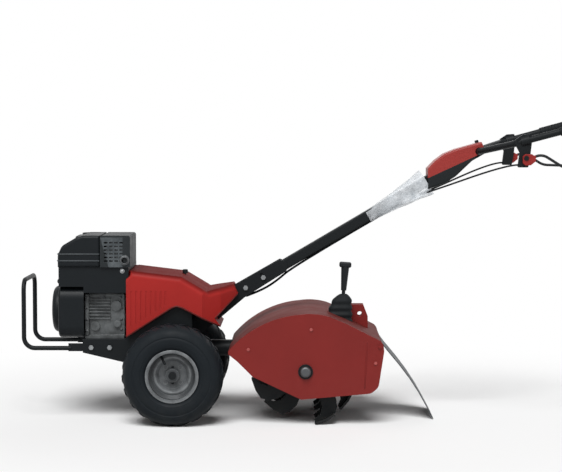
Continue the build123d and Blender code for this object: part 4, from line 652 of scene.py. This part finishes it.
# Control cables: smooth lines through the CAD route's points
CABLE_H = -20.8
CABLE_R = 0.003
CABLE_ROUTE = [
    at(1114, 218.5, 844), at(1076, 218.5, 844), on_column(688, -33, 34), on_column(640, CABLE_H, 12),
    on_column(170, CABLE_H, 12), on_column(100, -34, 12), on_column(40, -36, 12), on_column(-14, -26, 12),
]


def make_cable(name, side):
    curve = bpy.data.curves.new(name, "CURVE")
    curve.dimensions = "3D"
    curve.bevel_depth = CABLE_R
    curve.bevel_resolution = 3
    curve.resolution_u = 24
    curve.use_fill_caps = True
    spline = curve.splines.new("NURBS")
    spline.points.add(len(CABLE_ROUTE) - 1)
    for point, place in zip(spline.points, CABLE_ROUTE):
        point.co = (place.x, side * place.y, place.z, 1.0)
    spline.order_u = 3
    spline.use_endpoint_u = True
    curve.materials.append(MATS["grip"])
    obj = place_object(name, curve)
    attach(obj, "handle")
    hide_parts("control_cables")


for side_name, side in SIDES:
    make_cable(f"control_cable_{side_name}", side)

# Packing film: one sheet wound round the column, tight below and flaring upwards in loose creases
FILM_LOW, FILM_HIGH = 474.0, 700.0
FILM_ROWS, FILM_COLS = 72, 132
FILM_WIDE, FILM_WIDE_MORE = 24.2, 14.5    # half width at the tight end, and what the open end adds
FILM_TALL, FILM_TALL_MORE = 20.6, 24.0
FILM_FLARE = 1.5
FILM_POWER = 2 / 4.2
FILM_MID_H = -2.5


def film_point(t, a):
    """Point of the film: t from the tight lower end to the open upper end, a round the column."""
    s = FILM_LOW + (FILM_HIGH - FILM_LOW) * t
    c, d = squared_circle(a, FILM_POWER)
    y = (FILM_WIDE + FILM_WIDE_MORE * t ** FILM_FLARE) * c
    h = (FILM_TALL + FILM_TALL_MORE * t ** FILM_FLARE) * d
    # Broad folds along the column first, then finer creases across them
    fold = 0.8 * math.sin(4 * a + 7 * t + 1.1 * math.sin(5 * t)) + 0.5 * math.sin(7 * a - 11 * t + 2.0)
    fold += 0.35 * math.sin(11 * a + 15 * t) * math.sin(9 * t + 2 * a) + 0.25 * math.sin(19 * t + 2 * a)
    grow = 1 + (0.006 + 0.07 * t ** 1.4) * (fold + 0.6)
    ragged = 1.2 * t ** 6 * (math.sin(2 * a + 0.6) + 0.5 * math.sin(5 * a))
    return on_column(s + ragged, FILM_MID_H + h * grow, y * grow)


film_sections = []
for i in range(FILM_ROWS):
    film_sections.append([film_point(i / (FILM_ROWS - 1), a) for a in turns(FILM_COLS)])
film = mesh_piece("film_wrap", *rings(film_sections), "film", "handle", "clear_film")
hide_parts("column_film")

# Selector boot: rubber bellows that leans along the lever
BOOT_LOW, BOOT_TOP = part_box("selector_boot")
LEVER_FOOT, LEVER_HEAD = at(553, -62, 362), at(562, -62, 500)
BOOT_ROWS, BOOT_COLS, BOOT_FOLDS = 61, 48, 4
BOOT_HALF_X = (BOOT_TOP[0] - BOOT_LOW[0]) / 2 * 1.1
BOOT_HALF_Y = (BOOT_TOP[1] - BOOT_LOW[1]) / 2 * 0.93
BOOT_SHIFT = 0.013                        # how far the foot stands in front of the lever


def boot_ring(t):
    """Ring of the boot at a share of its height: square at the foot, rounder and drawn in at the neck."""
    z = BOOT_LOW[2] + (BOOT_TOP[2] - BOOT_LOW[2]) * t
    taper = 1 - 0.42 * t ** 1.4
    neck = 1 - 0.6 * max(0.0, (t - 0.8) / 0.2) ** 2
    folds = 0.045 * (1 - 0.5 * t) * math.cos(2 * math.pi * BOOT_FOLDS * t)
    size = taper * neck + folds
    lean = (LEVER_HEAD - LEVER_FOOT) * max(0.0, (z - LEVER_FOOT.z) / (LEVER_HEAD.z - LEVER_FOOT.z))
    middle = Vector((LEVER_FOOT.x - BOOT_SHIFT * (1 - t) + lean.x, LEVER_FOOT.y, z))
    ring = []
    for a in turns(BOOT_COLS):
        c, d = squared_circle(a, 2 / (4.6 - 2.2 * t))
        ring.append(middle + Vector((BOOT_HALF_X * size * c, BOOT_HALF_Y * size * d, 0)))
    return ring


boot_rings = [boot_ring(i / (BOOT_ROWS - 1)) for i in range(BOOT_ROWS)]
boot = mesh_object("boot_bellows", *rings(boot_rings), "grip")
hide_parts("selector_boot")
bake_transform(boot)

# Engine detail: tank seams, case flange with its bolts, cowl bolt, exhaust mouth
TO_LEFT = (0, -1, 0)
SEAM_R = 0.0026
# Tank seams in a lighter grey, a painted highlight along the ridges
for seam_name, seam_z, seam_x in (("tank_seam_upper", 550.0, -383.2), ("tank_seam_lower", 528.0, -384.0)):
    seam_line = [(-248, -150), (-374, -150), (-380, -147.6), (seam_x, -141), (seam_x, 60), (-380, 62),
                 (-248, 62)]
    tube(seam_name, [at(x, y, seam_z) for x, y in seam_line], SEAM_R, "seam", "chassis", "engine_black")
FLANGE = [(-299.6, -94), (-299.6, -107), (-297.6, -109), (-288, -109), (-286, -107), (-286, -94)]
FLANGE_OUTER_Y = -100                     # corners further out than this are drawn in at the ends
flange_levels = []
for flange_z, flange_in in ((276, 2.0), (279, 0.0), (412, 0.0), (416, 3.0)):
    flange_levels.append([at(x, y + (flange_in if y < FLANGE_OUTER_Y else 0), flange_z) for x, y in FLANGE])
flange = mesh_piece("case_flange", *rings(flange_levels, capped=True), "alloy", "chassis", "cast_alloy")
split_edges(flange, 25)
FLANGE_BOLTS = [at(-292.8, -109, z) for z in (292, 330, 368, 404)]
bolt_heads("flange_bolts", FLANGE_BOLTS, TO_LEFT, 0.0048, "iron", "chassis", "grey_iron")
SIDE_BOLTS = [at(x, -95, z) for x, z in ((-180, 296), (-180, 330), (-178, 368), (-182, 404), (-236, 404))]
bolt_heads("case_bolts", SIDE_BOLTS, TO_LEFT, 0.0052, "iron", "chassis", "grey_iron")
bolt_heads("cowl_bolt", [at(-172, -140, 494)], TO_LEFT, 0.0075, "steel", "chassis", "bright_steel")
MOUTH = [(16, -1), (16, 1.6), (12.5, 2.4), (11.5, 9.4), (10.6, 10.0), (9.8, 9.4), (9.2, -1)]
mouth_shape = lathe(metres(MOUTH), at(-163, -150, 530), TO_LEFT, 28)
split_edges(mesh_piece("exhaust_mouth", *mouth_shape, "iron", "chassis", "grey_iron"), 40)

# Beads on both sides: rolled lips along the cover's wheel arches and horn, and a rib on the hood's panels
# The lips' darker red is painted shade along the rounded edges
BEADS = (
    ("arch_lip", 0.0028, "lip", [
        (-158, 150, 278), (-12, 150, 372), (0, 150, 377.2), (7, 150, 378.6), (14, 150, 377.2), (26, 150, 373),
        (90, 150, 339.6), (148, 113.3, 309.2),
    ]),
    ("horn_lip", 0.0024, "lip", [(203, 58.2, 410.9), (150, 112, 355.8), (132, 123.4, 337)]),
    ("panel_rib", 0.0022, "hood", [(628, 250, 274), (627, 250, 232), (624, 250, 180), (621, 250, 124)]),
)
for side_name, side in SIDES:
    for bead_name, bead_r, bead_mat, line in BEADS:
        bead_line = [at(x, side * y, z) for x, y, z in line]
        tube(f"{bead_name}_{side_name}", bead_line, bead_r, bead_mat, "chassis", "red_paint")

# Valve stems: out of each rim well, leaning to the hub
STEM_TURN = math.radians(120)
STEM_R = 0.0042
for side_name, side in SIDES:
    stem_line = []
    for r, w in ((75, 29), (66, 31), (56, 36), (46, 43)):
        stem_line.append(at(r * math.cos(STEM_TURN), side * (WHEEL_Y + w), AXLE_Z + r * math.sin(STEM_TURN)))
    tube(f"valve_stem_{side_name}", stem_line, STEM_R, "grip", "wheel_axle", "grip_rubber", sides=14)

# Floor, light and camera
FLOOR_HALF = 60.0
FLOOR_NEAR, FLOOR_FAR = 0.9, 2.1          # where the floor starts to fade and where it is white
FLOOR_GREY = 0.93
WORLD_LIGHT = 0.11


def seen_share(tree):
    """1 for what the camera sees, straight, in a reflection or through clear film, and 0 for light."""
    path = tree.nodes.new("ShaderNodeLightPath")
    share = path.outputs["Is Camera Ray"]
    for ray in ("Is Glossy Ray", "Is Transmission Ray"):
        either = tree.nodes.new("ShaderNodeMath")
        either.operation = "MAXIMUM"
        tree.links.new(share, either.inputs[0])
        tree.links.new(path.outputs[ray], either.inputs[1])
        share = either.outputs[0]
    return share


def make_floor():
    """Pale floor that keeps the shadow and fades to white before the horizon."""
    size = FLOOR_HALF
    mesh = bpy.data.meshes.new("floor")
    corners = [(-size, -size, 0), (size, -size, 0), (size, size, 0), (-size, size, 0)]
    mesh.from_pydata(corners, [], [(0, 1, 2, 3)])
    floor = place_object("floor", mesh)
    mat = bpy.data.materials.new("floor_pale")
    mat.use_nodes = True
    tree = mat.node_tree
    bsdf = tree.nodes["Principled BSDF"]
    bsdf.inputs["Base Color"].default_value = (FLOOR_GREY, FLOOR_GREY, FLOOR_GREY, 1)
    bsdf.inputs["Roughness"].default_value = 0.9
    bsdf.inputs["Specular IOR Level"].default_value = 0.0
    glow = tree.nodes.new("ShaderNodeEmission")
    glow.inputs["Strength"].default_value = 1.0
    coord = tree.nodes.new("ShaderNodeTexCoord")
    length = tree.nodes.new("ShaderNodeVectorMath")
    length.operation = "LENGTH"
    fade = tree.nodes.new("ShaderNodeMapRange")
    fade.interpolation_type = "SMOOTHSTEP"
    fade.inputs["From Min"].default_value = FLOOR_NEAR
    fade.inputs["From Max"].default_value = FLOOR_FAR
    share = tree.nodes.new("ShaderNodeMath")
    share.operation = "MULTIPLY"
    blend = tree.nodes.new("ShaderNodeMixShader")
    tree.links.new(coord.outputs["Object"], length.inputs[0])
    tree.links.new(length.outputs["Value"], fade.inputs["Value"])
    tree.links.new(fade.outputs["Result"], share.inputs[0])
    tree.links.new(seen_share(tree), share.inputs[1])
    tree.links.new(share.outputs[0], blend.inputs[0])
    tree.links.new(bsdf.outputs[0], blend.inputs[1])
    tree.links.new(glow.outputs[0], blend.inputs[2])
    tree.links.new(blend.outputs[0], tree.nodes["Material Output"].inputs["Surface"])
    mesh.materials.append(mat)


def make_world():
    """Even white surround: white to the camera and in reflections, softer as light."""
    world = bpy.data.worlds.new("studio")
    bpy.context.scene.world = world
    world.use_nodes = True
    tree = world.node_tree
    back = tree.nodes["Background"]
    back.inputs["Color"].default_value = (1, 1, 1, 1)
    level = tree.nodes.new("ShaderNodeMapRange")
    level.inputs["To Min"].default_value = WORLD_LIGHT
    level.inputs["To Max"].default_value = 1.0
    tree.links.new(seen_share(tree), level.inputs["Value"])
    tree.links.new(level.outputs["Result"], back.inputs["Strength"])


def lamp(name, kind, place, aim, energy, size):
    """Soft lamp at a place, pointed at another: size is a sun's angle or an area's two sides."""
    data = bpy.data.lights.new(name, kind)
    data.energy = energy
    if kind == "AREA":
        data.shape = "RECTANGLE"
        data.size, data.size_y = size
    else:
        data.angle = size
    obj = place_object(name, data)
    obj.location = place
    obj.rotation_euler = (Vector(aim) - Vector(place)).to_track_quat("-Z", "Y").to_euler()


make_floor()
make_world()
lamp("sky", "SUN", (-0.3, -1.9, 2.5), (0, 0, 0), energy=3.1, size=math.radians(34))
lamp("key", "AREA", (-1.2, -4.0, 2.1), (0, 0, 0.4), energy=18, size=(3.0, 1.2))
lamp("fill", "AREA", (2.6, -2.6, 1.6), (0.2, 0, 0.5), energy=8, size=(2.0, 1.6))
lamp("rim", "AREA", (0.6, 2.8, 2.2), (0, 0, 0.5), energy=13, size=(3.0, 1.2))

PHOTO_W = 562
FOCAL_PX = 1745.0
VANISH_RIGHT, VANISH_UP = 18.5, 104.0     # pixels from the picture's middle to where sideways lines meet
EYE_PLACE = (-0.033, -5.85, 0.95)
eye = bpy.data.cameras.new("photo_camera")
eye.sensor_width = 36.0
eye.sensor_fit = "HORIZONTAL"
eye.lens = FOCAL_PX / PHOTO_W * eye.sensor_width
eye.clip_end = 200.0
camera = place_object("photo_camera", eye)
camera.location = EYE_PLACE
yaw = math.atan2(VANISH_RIGHT, FOCAL_PX)
pitch = math.atan2(VANISH_UP, FOCAL_PX)
camera.rotation_euler = (math.pi / 2 - pitch, 0.0, yaw)
bpy.context.scene.camera = camera
bpy.context.scene.view_settings.view_transform = "Standard"
